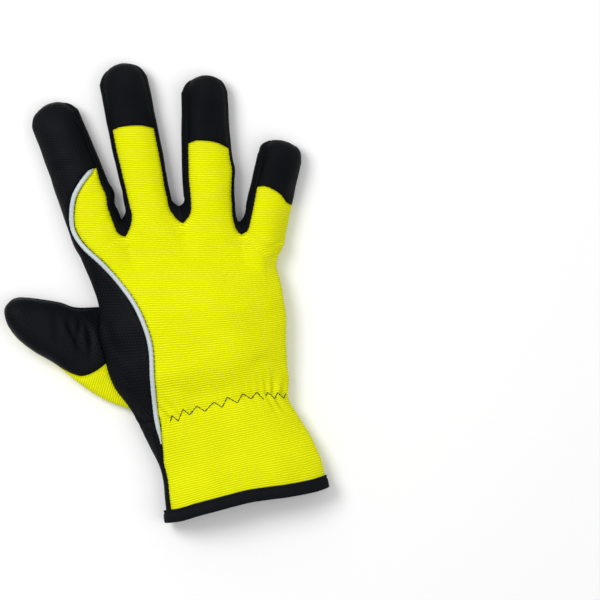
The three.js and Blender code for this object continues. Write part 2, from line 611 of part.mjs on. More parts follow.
// Thickens a patch of faces into one closed solid, drawn back from its rim by half the seam gap.
function thicken(outer, inner, quads) {
  const used = [...new Set(quads.flat())];
  const number = new Map(used.map((vertex, n) => [vertex, n]));
  const edges = new Map();
  quads.forEach((quad) => {
    quad.forEach((vertex, n) => edges.set(`${vertex},${quad[(n + 1) % quad.length]}`, quad));
  });
  const rim = [];
  const pull = new Map();
  edges.forEach((quad, key) => {
    const [a, b] = key.split(",").map(Number);
    if (edges.has(`${b},${a}`)) return;
    rim.push([a, b]);
    const centre = new THREE.Vector3();
    quad.forEach((vertex) => centre.addScaledVector(outer[vertex], 1 / quad.length));
    const edge = outer[b].clone().sub(outer[a]).normalize();
    const inward = centre.sub(outer[a]);
    inward.addScaledVector(edge, -inward.dot(edge)).normalize();
    [a, b].forEach((vertex) => pull.set(vertex, (pull.get(vertex) ?? new THREE.Vector3()).add(inward)));
  });
  const positions = [];
  [outer, inner].forEach((layer) => {
    used.forEach((vertex) => {
      const point = layer[vertex].clone();
      if (pull.has(vertex)) point.addScaledVector(pull.get(vertex).clone().normalize(), 0.55 * SEAM_GAP);
      positions.push(point.x, point.y, point.z);
    });
  });
  const count = used.length;
  const triangles = [];
  quads.forEach((quad) => {
    const [a, b, c, d] = quad.map((vertex) => number.get(vertex));
    triangles.push(a, b, c, a, c, d);
    triangles.push(c + count, b + count, a + count, d + count, c + count, a + count);
  });
  rim.forEach(([from, to]) => {
    const a = number.get(from);
    const b = number.get(to);
    if (from < to) triangles.push(b, a, b + count, a, a + count, b + count);
    else triangles.push(b, a, a + count, b, a + count, b + count);
  });
  return makeGeometry(positions, triangles);
}

function makeGeometry(positions, triangles) {
  const geometry = new THREE.BufferGeometry();
  geometry.setAttribute("position", new THREE.Float32BufferAttribute(positions, 3));
  geometry.setIndex(triangles);
  return geometry;
}

// A closed solid through rings of points, all with as many points. Its ends are fans, or where the
// first and second half of a ring mirror each other, strips between them.
function loft(rings, mirrored = false) {
  const positions = [];
  const triangles = [];
  const size = rings[0].length;
  rings.forEach((ring) => ring.forEach((point) => positions.push(point.x, point.y, point.z)));
  for (let i = 0; i < rings.length - 1; i += 1) {
    for (let j = 0; j < size; j += 1) {
      const a = i * size + j;
      const b = i * size + ((j + 1) % size);
      triangles.push(a, b, b + size, a, b + size, a + size);
    }
  }
  [0, rings.length - 1].forEach((i) => {
    if (mirrored) {
      for (let j = 0; j < size / 2; j += 1) {
        const a = i * size + j;
        const b = a + 1;
        const c = i * size + ((size - j - 1) % size);
        const d = i * size + ((size - j) % size);
        const strip = [[a, b, c], [a, c, d]];
        strip.filter(([p, q, r]) => p !== q && q !== r && r !== p).forEach((face) => {
          triangles.push(...(i === 0 ? face.reverse() : face));
        });
      }
      return;
    }
    const centre = new THREE.Vector3();
    rings[i].forEach((point) => centre.addScaledVector(point, 1 / size));
    const tip = positions.length / 3;
    positions.push(centre.x, centre.y, centre.z);
    for (let j = 0; j < size; j += 1) {
      const a = i * size + j;
      const b = i * size + ((j + 1) % size);
      if (i === 0) triangles.push(b, a, tip);
      else triangles.push(a, b, tip);
    }
  });
  return makeGeometry(positions, triangles);
}

// Directions and sections of the thumb.
const thumbAngle = (THUMB_ANGLE * Math.PI) / 180;
const thumbAlong = new THREE.Vector2(Math.cos(thumbAngle), Math.sin(thumbAngle));
const thumbOut = new THREE.Vector2(Math.sin(thumbAngle), -Math.cos(thumbAngle));
const thumbRoot = new THREE.Vector2(THUMB_ROOT.across * HAND_WIDTH, THUMB_ROOT.up * PALM_LENGTH);

THUMB_SECTIONS.forEach((row, n) => {
  row.at = n / (THUMB_SECTIONS.length - 1);
});
const thumbColumn = (column, at) => read(THUMB_SECTIONS, "at", column, at);
const backSeam = (at) => thumbColumn((row) => row.back, at);
const palmSeam = (at) => thumbColumn((row) => row.palm, at);

function thumbPlace(along, out) {
  return thumbRoot.clone()
    .addScaledVector(thumbAlong, along * THUMB_LENGTH)
    .addScaledVector(thumbOut, out * THUMB_WIDTH);
}

// A point of the thumb's section at an angle from the fork side over the back, at a depth.
function thumbPoint(at, degrees, depth) {
  const up = thumbPlace(thumbColumn((row) => row.upAlong, at), thumbColumn((row) => row.upOut, at));
  const low = thumbPlace(thumbColumn((row) => row.lowAlong, at), thumbColumn((row) => row.lowOut, at));
  const centre = up.clone().add(low).multiplyScalar(0.5);
  const side = up.clone().sub(low).multiplyScalar(0.5);
  const half = side.length();
  side.normalize();
  const angle = (degrees * Math.PI) / 180;
  const cosine = Math.cos(angle);
  const sine = Math.sin(angle);
  const out = Math.sign(cosine) * Math.abs(cosine) ** THUMB_POWER;
  const tall = THUMB_HEIGHT * thumbColumn((row) => row.tall, at);
  const middle = MID_SHARE * tall;
  const full = tipRounding(at, 0.7, 0);
  const rise = Math.max(TIP_SLIT, (tall - middle) * full - depth);
  const drop = Math.max(TIP_SLIT, middle * full - depth);
  const z = middle + (sine >= 0 ? rise * sine ** THUMB_POWER : -drop * Math.abs(sine) ** THUMB_UNDER_POWER);
  const bow = THUMB_LENGTH * thumbColumn((row) => row.bow, at) * (1 - out * out);
  const back = TIP_CLOTH * depth * smooth(0.7, 1, at);
  centre.addScaledVector(side, out * (half - depth)).addScaledVector(thumbAlong, bow - back);
  return new THREE.Vector3(centre.x, centre.y, z);
}

// Angles round the thumb, with its three seams at fixed columns.
const THUMB_PARTS = [
  { name: "thumb_back", steps: 5, from: () => THUMB_FORK_SEAM, to: backSeam },
  { name: "thumb_side_panel", steps: 4, from: backSeam, to: palmSeam },
  { name: "thumb_front", steps: 6, from: palmSeam, to: () => THUMB_FORK_SEAM + 360 },
];

function thumbRing(at, depth) {
  const ring = [];
  THUMB_PARTS.forEach((part) => {
    for (let j = 0; j < part.steps; j += 1) {
      ring.push(thumbPoint(at, mix(part.from(at), part.to(at), j / part.steps), depth));
    }
  });
  return ring;
}

// Rows of the thumb crowd together at its rounded tip.
const thumbRowShare = (i) => Math.sin((Math.PI / 2) * (i / THUMB_ROWS)) ** 1.1;

function thumbSolids() {
  const outer = [];
  const inner = [];
  const size = THUMB_PARTS.reduce((sum, part) => sum + part.steps, 0);
  for (let i = 0; i <= THUMB_ROWS; i += 1) {
    outer.push(...thumbRing(thumbRowShare(i), 0));
    inner.push(...thumbRing(thumbRowShare(i), THUMB_CLOTH));
  }
  let start = 0;
  return THUMB_PARTS.map((part) => {
    const quads = [];
    for (let i = 0; i < THUMB_ROWS; i += 1) {
      for (let j = start; j < start + part.steps; j += 1) {
        const next = (j + 1) % size;
        quads.push([i * size + j, i * size + next, (i + 1) * size + next, (i + 1) * size + j].reverse());
      }
    }
    start += part.steps;
    return { name: part.name, geometry: thicken(outer, inner, quads) };
  });
}

const wasm = await Module();
wasm.setup();

function toSolid(geometry) {
  const plain = geometry.clone();
  plain.deleteAttribute("normal");
  plain.deleteAttribute("uv");
  const merged = mergeVertices(plain, 1e-5);
  return new wasm.Manifold(new wasm.Mesh({
    numProp: 3,
    vertProperties: new Float32Array(merged.attributes.position.array),
    triVerts: new Uint32Array(merged.index.array),
  }));
}

function toGeometry(solid) {
  const mesh = solid.getMesh();
  return makeGeometry(Array.from(mesh.vertProperties), Array.from(mesh.triVerts));
}

// The space inside the hand, which the thumb's root is cut back to.
function handHollow() {
  const rings = [];
  for (let i = 0; i <= HAND_ROWS; i += 1) {
    const h = mix(HOLLOW_END, 1 - HOLLOW_END, i / HAND_ROWS);
    const ring = [];
    SIDE_STEPS.slice(1, -1).forEach((step) => ring.push(sidePath(outerSide(0, h, CLOTH), 2 - step)));
    for (let j = 0; j <= BACK_COLUMNS * 2; j += 1) {
      const place = (j / (BACK_COLUMNS * 2)) * FINGERS.length;
      const f = Math.min(Math.floor(place), LAST);
      ring.push(handBack(f, place - f, h, CLOTH));
    }
    SIDE_STEPS.slice(1, -1).forEach((step) => ring.push(sidePath(outerSide(LAST + 1, h, CLOTH), step)));
    for (let j = PALM_COLUMNS * 2; j >= 0; j -= 1) {
      const place = (j / (PALM_COLUMNS * 2)) * FINGERS.length;
      const f = Math.min(Math.floor(place), LAST);
      ring.push(handPalm(f, place - f, h, CLOTH));
    }
    rings.push(ring);
  }
  return toSolid(loft(rings));
}

const THUMB_HOLE_STEPS = 14;

// The thumb's outer solid, grown by the seam gap, which opens its hole in the palm cloth.
function thumbSpace() {
  const rings = [];
  for (let i = 0; i <= THUMB_ROWS; i += 1) {
    const at = thumbRowShare(i);
    const ring = [];
    for (let j = 0; j < 2 * THUMB_HOLE_STEPS; j += 1) {
      const point = thumbPoint(at, (-180 * j) / THUMB_HOLE_STEPS, -SEAM_GAP);
      const back = i === 0 ? SEAM_GAP : 0;
      ring.push(point.addScaledVector(new THREE.Vector3(thumbAlong.x, thumbAlong.y, 0), -back));
    }
    rings.push(ring);
  }
  return toSolid(loft(rings, true));
}

// The plan of the leaf-shaped saddle patch as a low prism, grown outwards by a margin.
function saddlePrism(margin) {
  const seam = SADDLE_SEAM.map((row) => new THREE.Vector2(row.across * HAND_WIDTH, row.up * PALM_LENGTH));
  const plan = [...new THREE.SplineCurve(seam).getPoints(SADDLE_STEPS), thumbPlace(0.45, 0)];
  const grown = plan.map((point, n) => {
    const before = plan[(n + plan.length - 1) % plan.length];
    const after = plan[(n + 1) % plan.length];
    const square = (a, b) => new THREE.Vector2(a.y - b.y, b.x - a.x).normalize();
    const out = square(before, point).add(square(point, after)).normalize();
    return point.clone().addScaledVector(out, 1.2 * margin);
  });
  const depth = 3 * CLOTH;
  const geometry = new THREE.ExtrudeGeometry(new THREE.Shape(grown), { depth, bevelEnabled: false });
  geometry.translate(0, 0, -depth / 2);
  return toSolid(geometry);
}

// The piping's centre line over the back, at hand and finger rows, from wrist to index finger.
function pipingLine() {
  const points = [];
  for (let i = 0; i <= LINE_STEPS; i += 1) {
    const h = mix(PIPING_START, 1, i / LINE_STEPS);
    points.push(handBack(0, seamShare((q) => handBack(0, q, h, 0)), h, 0));
  }
  for (let i = 1; i <= LINE_STEPS / 2; i += 1) {
    const t = FINGERS[0].cap * (i / (LINE_STEPS / 2));
    points.push(fingerBack(0, seamShare((q) => fingerBack(0, q, t, 0)), t, 0));
  }
  return new THREE.CatmullRomCurve3(points);
}

// A round bead along the line, thinner at both ends, its sides square to the line.
const PIPING_STEPS = 36;
const PIPING_SIDES = 6;
const PIPING_LIFT = 0.15;
const PIPING_TAPER = 0.45;

function pipingBead(margin) {
  const curve = pipingLine();
  const rings = [];
  for (let i = 0; i <= PIPING_STEPS; i += 1) {
    const u = i / PIPING_STEPS;
    const centre = curve.getPointAt(u);
    const tangent = curve.getTangentAt(u);
    const sideways = new THREE.Vector3(-tangent.y, tangent.x, 0).normalize();
    const up = tangent.clone().cross(sideways).normalize();
    const taper = mix(PIPING_TAPER, 1, smooth(0, 0.04, u) * (1 - smooth(0.975, 1, u)));
    const radius = (PIPING_DIAMETER / 2) * taper + margin;
    const end = margin * (i === 0 ? -1 : i === PIPING_STEPS ? 1 : 0);
    const ring = [];
    for (let j = 0; j < PIPING_SIDES; j += 1) {
      const angle = (2 * Math.PI * j) / PIPING_SIDES;
      ring.push(centre.clone()
        .addScaledVector(tangent, end)
        .addScaledVector(sideways, radius * Math.cos(angle))
        .addScaledVector(up, radius * Math.sin(angle) + PIPING_LIFT * PIPING_DIAMETER));
    }
    rings.push(ring);
  }
  return loft(rings);
}

// Loop of points round the open hem, with the direction square to the cloth at each.
function hemLoop() {
  const places = [];
  for (let f = 0; f <= LAST; f += 1) {
    const columns = backColumns(f);
    const seam = f > 0 ? 0 : seamShare((q) => handBack(0, q, 0, 0));
    for (let j = f > 0 ? 1 : 0; j <= columns; j += 1) {
      places.push((depth, h) => handBack(f, columnShare(f, j, seam), h, depth));
    }
  }
  SIDE_STEPS.slice(1).forEach((step) => {
    places.push((depth, h) => sidePath(outerSide(LAST + 1, h, depth), step));
  });
  for (let f = LAST; f >= 0; f -= 1) {
    for (let j = PALM_COLUMNS - 1; j >= 0; j -= 1) {
      places.push((depth, h) => handPalm(f, j / PALM_COLUMNS, h, depth));
    }
  }
  SIDE_STEPS.slice(1, -1).reverse().forEach((step) => {
    places.push((depth, h) => sidePath(outerSide(0, h, depth), step));
  });
  return places;
}

// Rounds the corners of one loop of the tape, so that the cloth inside a sharp corner doesn't fold.
function easeLoop(positions, size, j) {
  const count = positions.length / 3 / size;
  const at = (n, axis) => positions[(((n + count) % count) * size + j) * 3 + axis];
  [0, 2].forEach((axis) => {
    const eased = [];
    for (let n = 0; n < count; n += 1) {
      eased.push(mix(at(n, axis), (at(n - 1, axis) + at(n + 1, axis)) / 2, LOOP_EASE));
    }
    eased.forEach((value, n) => {
      positions[(n * size + j) * 3 + axis] = value;
    });
  });
}

// The hem binding: a folded tape round the raw edge, with a slot that the cloth sits in.
function bindingTape() {
  const outside = SEAM_GAP + BINDING_CLOTH;
  const inside = -(CLOTH + SEAM_GAP + BINDING_CLOTH);
  const slot = -0.5 * SEAM_GAP;
  const foot = slot - BINDING_CLOTH;
  const top = foot + BINDING_DEPTH;
  const profile = [
    { out: SEAM_GAP, along: top }, { out: 0.8 * outside, along: top },
    { out: outside, along: 0.85 * top },
    { out: outside, along: 0.5 * foot }, { out: 0.3 * outside, along: foot },
    { out: mix(inside, 0, 0.3), along: foot }, { out: inside, along: 0.5 * foot },
    { out: inside, along: 0.85 * top }, { out: mix(inside, 0, 0.1), along: top },
    { out: -CLOTH - SEAM_GAP, along: top }, { out: -CLOTH - SEAM_GAP, along: slot },
    { out: SEAM_GAP, along: slot },
  ];
  const places = hemLoop();
  const positions = [];
  const triangles = [];
  const size = profile.length;
  places.forEach((place, n) => {
    const before = places[(n + places.length - 1) % places.length](0, 0);
    const after = places[(n + 1) % places.length](0, 0);
    const out = new THREE.Vector3(before.z - after.z, 0, after.x - before.x).normalize();
    profile.forEach(({ out: reach, along }) => {
      const h = Math.max(along, 0) / PALM_LENGTH;
      const depth = clamp(-reach, 0, CLOTH);
      const point = place(depth, h);
      const rest = reach + depth;
      point.addScaledVector(out, rest);
      point.y = along;
      positions.push(point.x, point.y, point.z);
    });
    for (let j = 0; j < size; j += 1) {
      const a = n * size + j;
      const b = n * size + ((j + 1) % size);
      const next = size * places.length;
      triangles.push(a, b, (a + size) % next, b, (b + size) % next, (a + size) % next);
    }
  });
  profile.forEach(({ out }, j) => {
    const rounds = out < -CLOTH - SEAM_GAP ? LOOP_ROUNDS : 0;
    for (let n = 0; n < rounds; n += 1) easeLoop(positions, size, j);
  });
  return makeGeometry(positions, triangles);
}

function cloth(name, geometry, colour, roughness) {
  const material = new THREE.MeshStandardMaterial({ color: colour, roughness, metalness: 0 });
  const mesh = new THREE.Mesh(geometry, material);
  mesh.name = name;
  return mesh;
}

buildHand();
FINGERS.forEach((finger, f) => buildFinger(f));

const panels = new Map();
bag.faces.forEach((face) => {
  if (!panels.has(face.tag)) panels.set(face.tag, []);
  panels.get(face.tag).push(face.quad);
});
const panelGeometry = (name) => thicken(bag.outer, bag.inner, panels.get(name));

const thumbHole = thumbSpace();
const hollow = handHollow();
const grownBead = toSolid(pipingBead(SEAM_GAP));
const palmCloth = toSolid(panelGeometry("palm_panel")).subtract(grownBead).subtract(thumbHole);
const palmPanel = palmCloth.subtract(saddlePrism(SEAM_GAP));
const saddlePatch = palmCloth.intersect(saddlePrism(0));
const backPanel = toSolid(panelGeometry("back_panel")).subtract(grownBead);

const bare = new THREE.Group();
bare.add(cloth("back_panel", toGeometry(backPanel), YELLOW, 0.85));
bare.add(cloth("palm_panel", toGeometry(palmPanel), BLACK, 0.5));
CAPS.slice(1).forEach((name) => bare.add(cloth(name, panelGeometry(name), SMOOTH_BLACK, 0.6)));
FOURCHETTES.forEach((name) => bare.add(cloth(name, panelGeometry(name), SMOOTH_BLACK, 0.6)));
thumbSolids().forEach(({ name, geometry }) => {
  const yellow = name === "thumb_side_panel";
  const trimmed = toSolid(geometry).subtract(hollow);
  bare.add(cloth(name, toGeometry(trimmed), yellow ? YELLOW : BLACK, yellow ? 0.85 : 0.5));
});
bare.add(cloth("thumb_saddle_patch", toGeometry(saddlePatch), BLACK, 0.5));
bare.add(cloth("reflective_piping", pipingBead(0), SILVER, 0.35));
bare.add(cloth("cuff_binding", bindingTape(), SMOOTH_BLACK, 0.7));

// The part's origin is the middle of its box, on the surface that it lies on.
const box = new THREE.Box3().setFromObject(bare);
const middle = box.getCenter(new THREE.Vector3());
bare.position.set(-middle.x, -middle.y, -box.min.z);

const glove = new THREE.Group();
glove.add(bare);

export default glove;
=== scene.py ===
"""A right-hand thermal work glove, lying palm down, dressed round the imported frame.

The cloth is worked out from the same sizes as the frame's own solids, in millimetres in the glove's
own directions (x across the hand, y from the hem to the fingers, z up), and then set in metres.
"""

import math

import bpy
import numpy as np
from mathutils import Matrix, Vector
from mathutils.bvhtree import BVHTree
from mathutils.kdtree import KDTree


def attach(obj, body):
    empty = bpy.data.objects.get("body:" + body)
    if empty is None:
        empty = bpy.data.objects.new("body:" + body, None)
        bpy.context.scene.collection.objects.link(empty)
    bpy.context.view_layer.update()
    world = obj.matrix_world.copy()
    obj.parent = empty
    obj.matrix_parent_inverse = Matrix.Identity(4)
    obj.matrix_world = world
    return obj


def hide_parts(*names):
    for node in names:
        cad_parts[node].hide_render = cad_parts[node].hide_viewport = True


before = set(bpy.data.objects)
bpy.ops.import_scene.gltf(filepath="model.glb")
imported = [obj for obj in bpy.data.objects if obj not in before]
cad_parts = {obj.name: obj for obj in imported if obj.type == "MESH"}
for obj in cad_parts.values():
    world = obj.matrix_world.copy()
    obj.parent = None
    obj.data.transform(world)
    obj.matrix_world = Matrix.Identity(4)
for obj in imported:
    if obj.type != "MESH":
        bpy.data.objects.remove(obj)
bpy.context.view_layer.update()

# The hem's middle in the frame, a millimetre in metres, and a full turn.
HEM_MIDDLE = (17.4234, -129.0112, 0.0)
MM = 0.001
TURN = 2 * math.pi

# Cloth that lies on the floor stays this far clear of it.
FLOOR_GAP = 0.03

# Driving dimensions of the cloth
PALM_LENGTH = 161.5
HAND_WIDTH = 107.0
WRIST_WIDTH = 85.5
CUFF_WIDTH = 94.0
CUFF_HEIGHT = 24.0
WRIST_HEIGHT = 22.0
PALM_HEIGHT = 27.0
KNUCKLE_HEIGHT = 24.0
FINGER_HEIGHT = 19.0
THUMB_LENGTH = 82.0
THUMB_WIDTH = 32.0
THUMB_HEIGHT = 19.0
THUMB_ANGLE = math.radians(148)
CLOTH = 2.2
THUMB_CLOTH = 2.0
SEAM_GAP = 0.3
WEB_DEPTH = 13.0
PIPING_DIAMETER = 2.6
BINDING_DEPTH = 7.5
BINDING_CLOTH = 1.2
PUCKER_DEPTH = 0.8


def columns(names, rows):
    """A table as named columns."""
    return {name: np.array([row[n] for row in rows], dtype=float) for n, name in enumerate(names)}


# Sections of the hand: up is a share of PALM_LENGTH, left, right, shoulder and wrap of wide.
HAND = columns(("up", "wide", "left", "right", "tall", "shoulder", "wrap"), (
    (0.0, CUFF_WIDTH, -0.49, 0.497, CUFF_HEIGHT, 0.012, 0.09),
    (0.09, CUFF_WIDTH, -0.468, 0.5, CUFF_HEIGHT, 0.012, 0.1),
    (0.18, WRIST_WIDTH, -0.503, 0.516, WRIST_HEIGHT, 0.014, 0.11),
    (0.26, WRIST_WIDTH, -0.54, 0.465, WRIST_HEIGHT, 0.03, 0.11),
    (0.32, WRIST_WIDTH, -0.567, 0.434, WRIST_HEIGHT, 0.06, 0.11),
    (0.4, WRIST_WIDTH, -0.608, 0.467, WRIST_HEIGHT, 0.07, 0.095),
    (0.5, HAND_WIDTH, -0.547, 0.393, PALM_HEIGHT, 0.07, 0.06),
    (0.6, HAND_WIDTH, -0.563, 0.425, PALM_HEIGHT, 0.07, 0.055),
    (0.7, HAND_WIDTH, -0.561, 0.44, PALM_HEIGHT, 0.06, 0.045),
    (0.78, HAND_WIDTH, -0.532, 0.444, KNUCKLE_HEIGHT, 0.045, 0.045),
    (0.86, HAND_WIDTH, -0.539, 0.49, KNUCKLE_HEIGHT, 0.03, 0.045),
    (1.0, HAND_WIDTH, -0.575, 0.51, KNUCKLE_HEIGHT, 0.012, 0.045),
))
HAND["left_edge"] = HAND["left"] * HAND["wide"]
HAND["right_edge"] = HAND["right"] * HAND["wide"]

# Rails up the hand to the finger forks: hem as a share of CUFF_WIDTH, across and up of the hand,
# and how deep the cloth stands in the fork, as a share of WEB_DEPTH.
RAILS = ((-0.49, -0.568, 0.96, 0), (-0.255, -0.306, 0.999, 1), (0.0, 0.004, 1.0, 1),
         (0.255, 0.293, 0.919, 0.7), (0.497, 0.482, 0.822, 0))
LAST_RAIL = len(RAILS) - 1

# Fingers: bow and crown are the shares of the reach by which the finger and its cap seam curve.
FINGER_COLUMNS = ("name", "long", "wide", "tip_x", "tip_y", "low", "high", "close", "cap",
                  "slant", "base", "end", "bow", "crown")
FINGERS = [dict(zip(FINGER_COLUMNS, row)) for row in (
    ("index", 88.5, 31.0, -0.543, 0.96, 0.05, 0.125, 0.45, 0.52, 0, 1.0, 0.93, 0.007, 0.0),
    ("middle", 98.0, 28.2, -0.131, 1.0, 0.065, 0.055, 1.0, 0.625, -9, 0.96, 1.0, -0.002, 0.023),
    ("ring", 87.0, 28.0, 0.291, 0.93, 0.12, 0.03, 1.0, 0.558, -10, 1.05, 0.96, -0.01, 0.034),
    ("little", 60.0, 26.0, 0.624, 0.575, 0.15, 0.1, 1.0, 0.5, -15, 1.0, 0.97, 0.0, 0.05),
)]
LAST_FINGER = len(FINGERS) - 1

# The piping and the seam below it: up as a share of PALM_LENGTH, across of HAND_WIDTH.
SEAM_LINE = columns(("up", "across"), (
    (0.0, -0.425), (0.1, -0.405), (0.2, -0.386), (0.27, -0.369), (0.37, -0.362), (0.5, -0.336),
    (0.6, -0.309), (0.67, -0.31), (0.76, -0.336), (0.85, -0.391), (0.93, -0.458), (1.0, -0.53),
    (1.045, -0.561), (1.085, -0.57), (1.14, -0.553), (1.185, -0.524), (1.22, -0.48),
    (1.25, -0.428), (1.268, -0.385),
))
PIPING_START = 0.27

# Sections of the thumb from its root to its tip: shares of its length and width, seams in degrees.
THUMB = columns(("up_along", "up_out", "low_along", "low_out", "tall", "bow", "back", "palm"), (
    (0.37, 0.6, -0.16, -0.93, 0.5, -0.1, 80, 207),
    (0.44, 0.52, -0.005, -0.955, 0.58, -0.05, 88, 214),
    (0.5, 0.46, 0.14, -0.94, 0.68, -0.02, 106, 220),
    (0.56, 0.42, 0.28, -0.86, 0.78, 0, 131, 228),
    (0.64, 0.425, 0.42, -0.74, 0.88, 0, 159, 236),
    (0.74, 0.4, 0.56, -0.61, 0.97, 0, 182, 240),
    (0.84, 0.35, 0.71, -0.54, 1.0, 0.005, 192, 240),
    (0.92, 0.29, 0.83, -0.45, 0.99, 0.012, 198, 236),
    (0.97, 0.2, 0.92, -0.3, 0.96, 0.018, 200, 230),
    (0.99, 0.1, 0.97, -0.14, 0.92, 0.016, 200, 226),
))
THUMB["at"] = np.linspace(0, 1, len(THUMB["tall"]))
THUMB_ROOT = (-0.374 * HAND_WIDTH, 0.588 * PALM_LENGTH)
THUMB_ALONG = np.array((math.cos(THUMB_ANGLE), math.sin(THUMB_ANGLE)))
THUMB_OUT = np.array((math.sin(THUMB_ANGLE), -math.cos(THUMB_ANGLE)))
THUMB_FORK_SEAM = 14
TIP_SLIT = 0.15
TIP_BULGE = 0.026

SADDLE_SEAM = ((-0.514, 0.81), (-0.374, 0.81), (-0.29, 0.745), (-0.252, 0.66), (-0.248, 0.54),
               (-0.275, 0.455), (-0.36, 0.42))

MID_SHARE = 0.45
VALLEY_SHARE = 0.62
FORK_LIFT = 0.1
SIDE_REACH = 0.06
FINGER_WRAP = 0.14
FLAT_SHARE = 0.35
FLOOR_ROUNDING = 0.6
LEAST_SIDE = 0.1
SIDE_POWER = 0.4
BACK_POWER = 3.5
FINGER_POWER = 2.4
THUMB_POWER = 0.85
THUMB_UNDER_POWER = 0.45
CROWN_END = 0.72
VALLEY_START = 0.78
ROOT_CROWN = 0.35
ROOT_FULLNESS = 1.04
TIP_FULLNESS = 0.97
TIP_START = 0.82
TIP_NARROWS = 0.9
TIP_WIDTH = 0.62
TIP_SLOPE = 0.85
CROWN_REACH = 0.38
FORK_LENGTH = 0.07
FORK_REACH = 11.0
WEB_SHARE = 0.35
TIP_CLOTH = 1.2
LEAST_SHARE = 0.035
MOST_SHARE = 0.93
TIP_SHARE = 0.55


def mix(a, b, t):
    return a + (b - a) * t


def smooth(low, high, value):
    t = np.clip((value - low) / (high - low), 0, 1)
    return t * t * (3 - 2 * t)


def point(x, y, z):
    return np.stack(np.broadcast_arrays(x, y, z), axis=-1).astype(float)


def read(places, values, at):
    """Catmull-Rom value of one column of a table at a place along another."""
    last = len(places) - 1
    at = np.asarray(at, dtype=float)
    i = np.clip(np.searchsorted(places, at, side="left") - 1, 0, last - 1)
    before, after = np.clip(i - 1, 0, last), np.clip(i + 2, 0, last)
    span = places[i + 1] - places[i]
    t = np.clip((at - places[i]) / span, 0, 1)
    first = (values[i + 1] - values[before]) / (places[i + 1] - places[before]) * span
    second = (values[after] - values[i]) / (places[after] - places[i]) * span
    ease = t * t * (3 - 2 * t)
    return mix(values[i], values[i + 1], ease) + t * (1 - t) * ((1 - t) * first - t * second)


def hand_column(name, y):
    return read(HAND["up"], HAND[name], y / PALM_LENGTH)


def seam_across(y):
    return HAND_WIDTH * read(SEAM_LINE["up"], SEAM_LINE["across"], y / PALM_LENGTH)


def rail_place(k, h):
    hem, across, up, _ = RAILS[k]
    y = PALM_LENGTH * (h + (up - 1) * h ** 3)
    if k == 0:
        return hand_column("left_edge", y), y
    if k == LAST_RAIL:
        return hand_column("right_edge", y), y
    return mix(hem * CUFF_WIDTH, across * HAND_WIDTH, h), y


def gather(x, y):
    """The dip that the elastic at the wrist draws across the back."""
    away = (y / PALM_LENGTH - 0.36) / 0.055
    wave = mix(1, np.cos(TURN * x / 17), 0.4)
    return -PUCKER_DEPTH * wave * np.exp(-away * away)


def flute(x, y):
    """The flutes of the flaring cuff below the elastic."""
    return 0.5 * np.sin(TURN * x / 21 + 1) * (1 - smooth(0, 0.32, y / PALM_LENGTH))


def hem_lift(y):
    return (SEAM_GAP + BINDING_CLOTH) * (1 - smooth(0.05, 0.14, y / PALM_LENGTH))


def shoulder_height(inset, half, middle, top):
    return middle + (top - middle) * np.clip(inset / half, 0.0001, 1) ** SIDE_POWER


def outer_side(k, h, depth):
    """Where a side of the hand starts on the back, its silhouette, and where it ends below."""
    x, y = rail_place(k, h)
    inward = 1 if k == 0 else -1
    wide = hand_column("wide", y)
    shoulder = (hand_column("shoulder", y) if k == 0 else SIDE_REACH) * wide
    wrap = (SIDE_REACH if k == 0 else hand_column("wrap", y)) * wide
    middle = MID_SHARE * hand_column("tall", y)
    top = hand_column("tall", y) - depth
    x = x + inward * depth
    return (
        point(x + inward * shoulder, y, shoulder_height(shoulder, wide / 2, middle, top)),
        point(x, y, middle),
        point(x + inward * wrap, y, FLOOR_ROUNDING + hem_lift(y) + depth),
    )


def back_height(x, y, h, depth):
    left, right = (outer_side(k, h, depth)[0] for k in (0, LAST_RAIL))
    across = np.clip((x - left[..., 0]) / (right[..., 0] - left[..., 0]) * 2 - 1, -1, 1)
    chord = mix(left[..., 2], right[..., 2], (across + 1) / 2)
    crown = chord + (hand_column("tall", y) - depth - chord) * (1 - np.abs(across) ** BACK_POWER)
    root = mix(chord, crown, ROOT_CROWN)
    return mix(crown, root, smooth(CROWN_END, 1, h)) + (gather(x, y) + flute(x, y)) * (1 - across ** 4)


def back_rail(k, h, depth):
    if k in (0, LAST_RAIL):
        return outer_side(k, h, depth)[0]
    x, y = rail_place(k, h)
    valley = VALLEY_SHARE * KNUCKLE_HEIGHT - depth
    return point(x, y, mix(back_height(x, y, h, depth), valley, smooth(VALLEY_START, 1, h)))


def palm_rail(k, h, depth):
    if k in (0, LAST_RAIL):
        return outer_side(k, h, depth)[2]
    x, y = rail_place(k, h)
    return point(x, y, depth + FORK_LIFT * KNUCKLE_HEIGHT * smooth(0.85, 1, h) + hem_lift(y))


def side_path(side, step):
    """The path of a side from its back seam (step 0) over the silhouette to the palm (step 2)."""
    top, middle, below = side
    upper = mix(top, middle, np.sin(math.pi * step / 2)[..., None])
    upper[..., 2] = mix(top[..., 2], middle[..., 2], step)
    turn = math.pi * (step - 1) / 2
    lower = mix(below, middle, np.cos(turn)[..., None])
    lower[..., 2] = mix(middle[..., 2], below[..., 2], np.sin(turn))
    return np.where((step <= 1)[..., None], upper, lower)


def hand_back(f, q, h, depth):
    a, b = (back_rail(k, h, depth) for k in (f, f + 1))
    spot = mix(a, b, q[..., None])
    rise = FINGER_HEIGHT * ROOT_FULLNESS - depth - (a[..., 2] + b[..., 2]) / 2
    arched = spot[..., 2] + rise * (1 - np.abs(2 * q - 1) ** FINGER_POWER)
    height = back_height(spot[..., 0], spot[..., 1], h, depth)
    spot[..., 2] = mix(height, arched, smooth(VALLEY_START, 1, h))
    return spot


def palm_rim(q):
    return np.clip((np.abs(2 * q - 1) - FLAT_SHARE) / (1 - FLAT_SHARE), 0, 1) ** 4


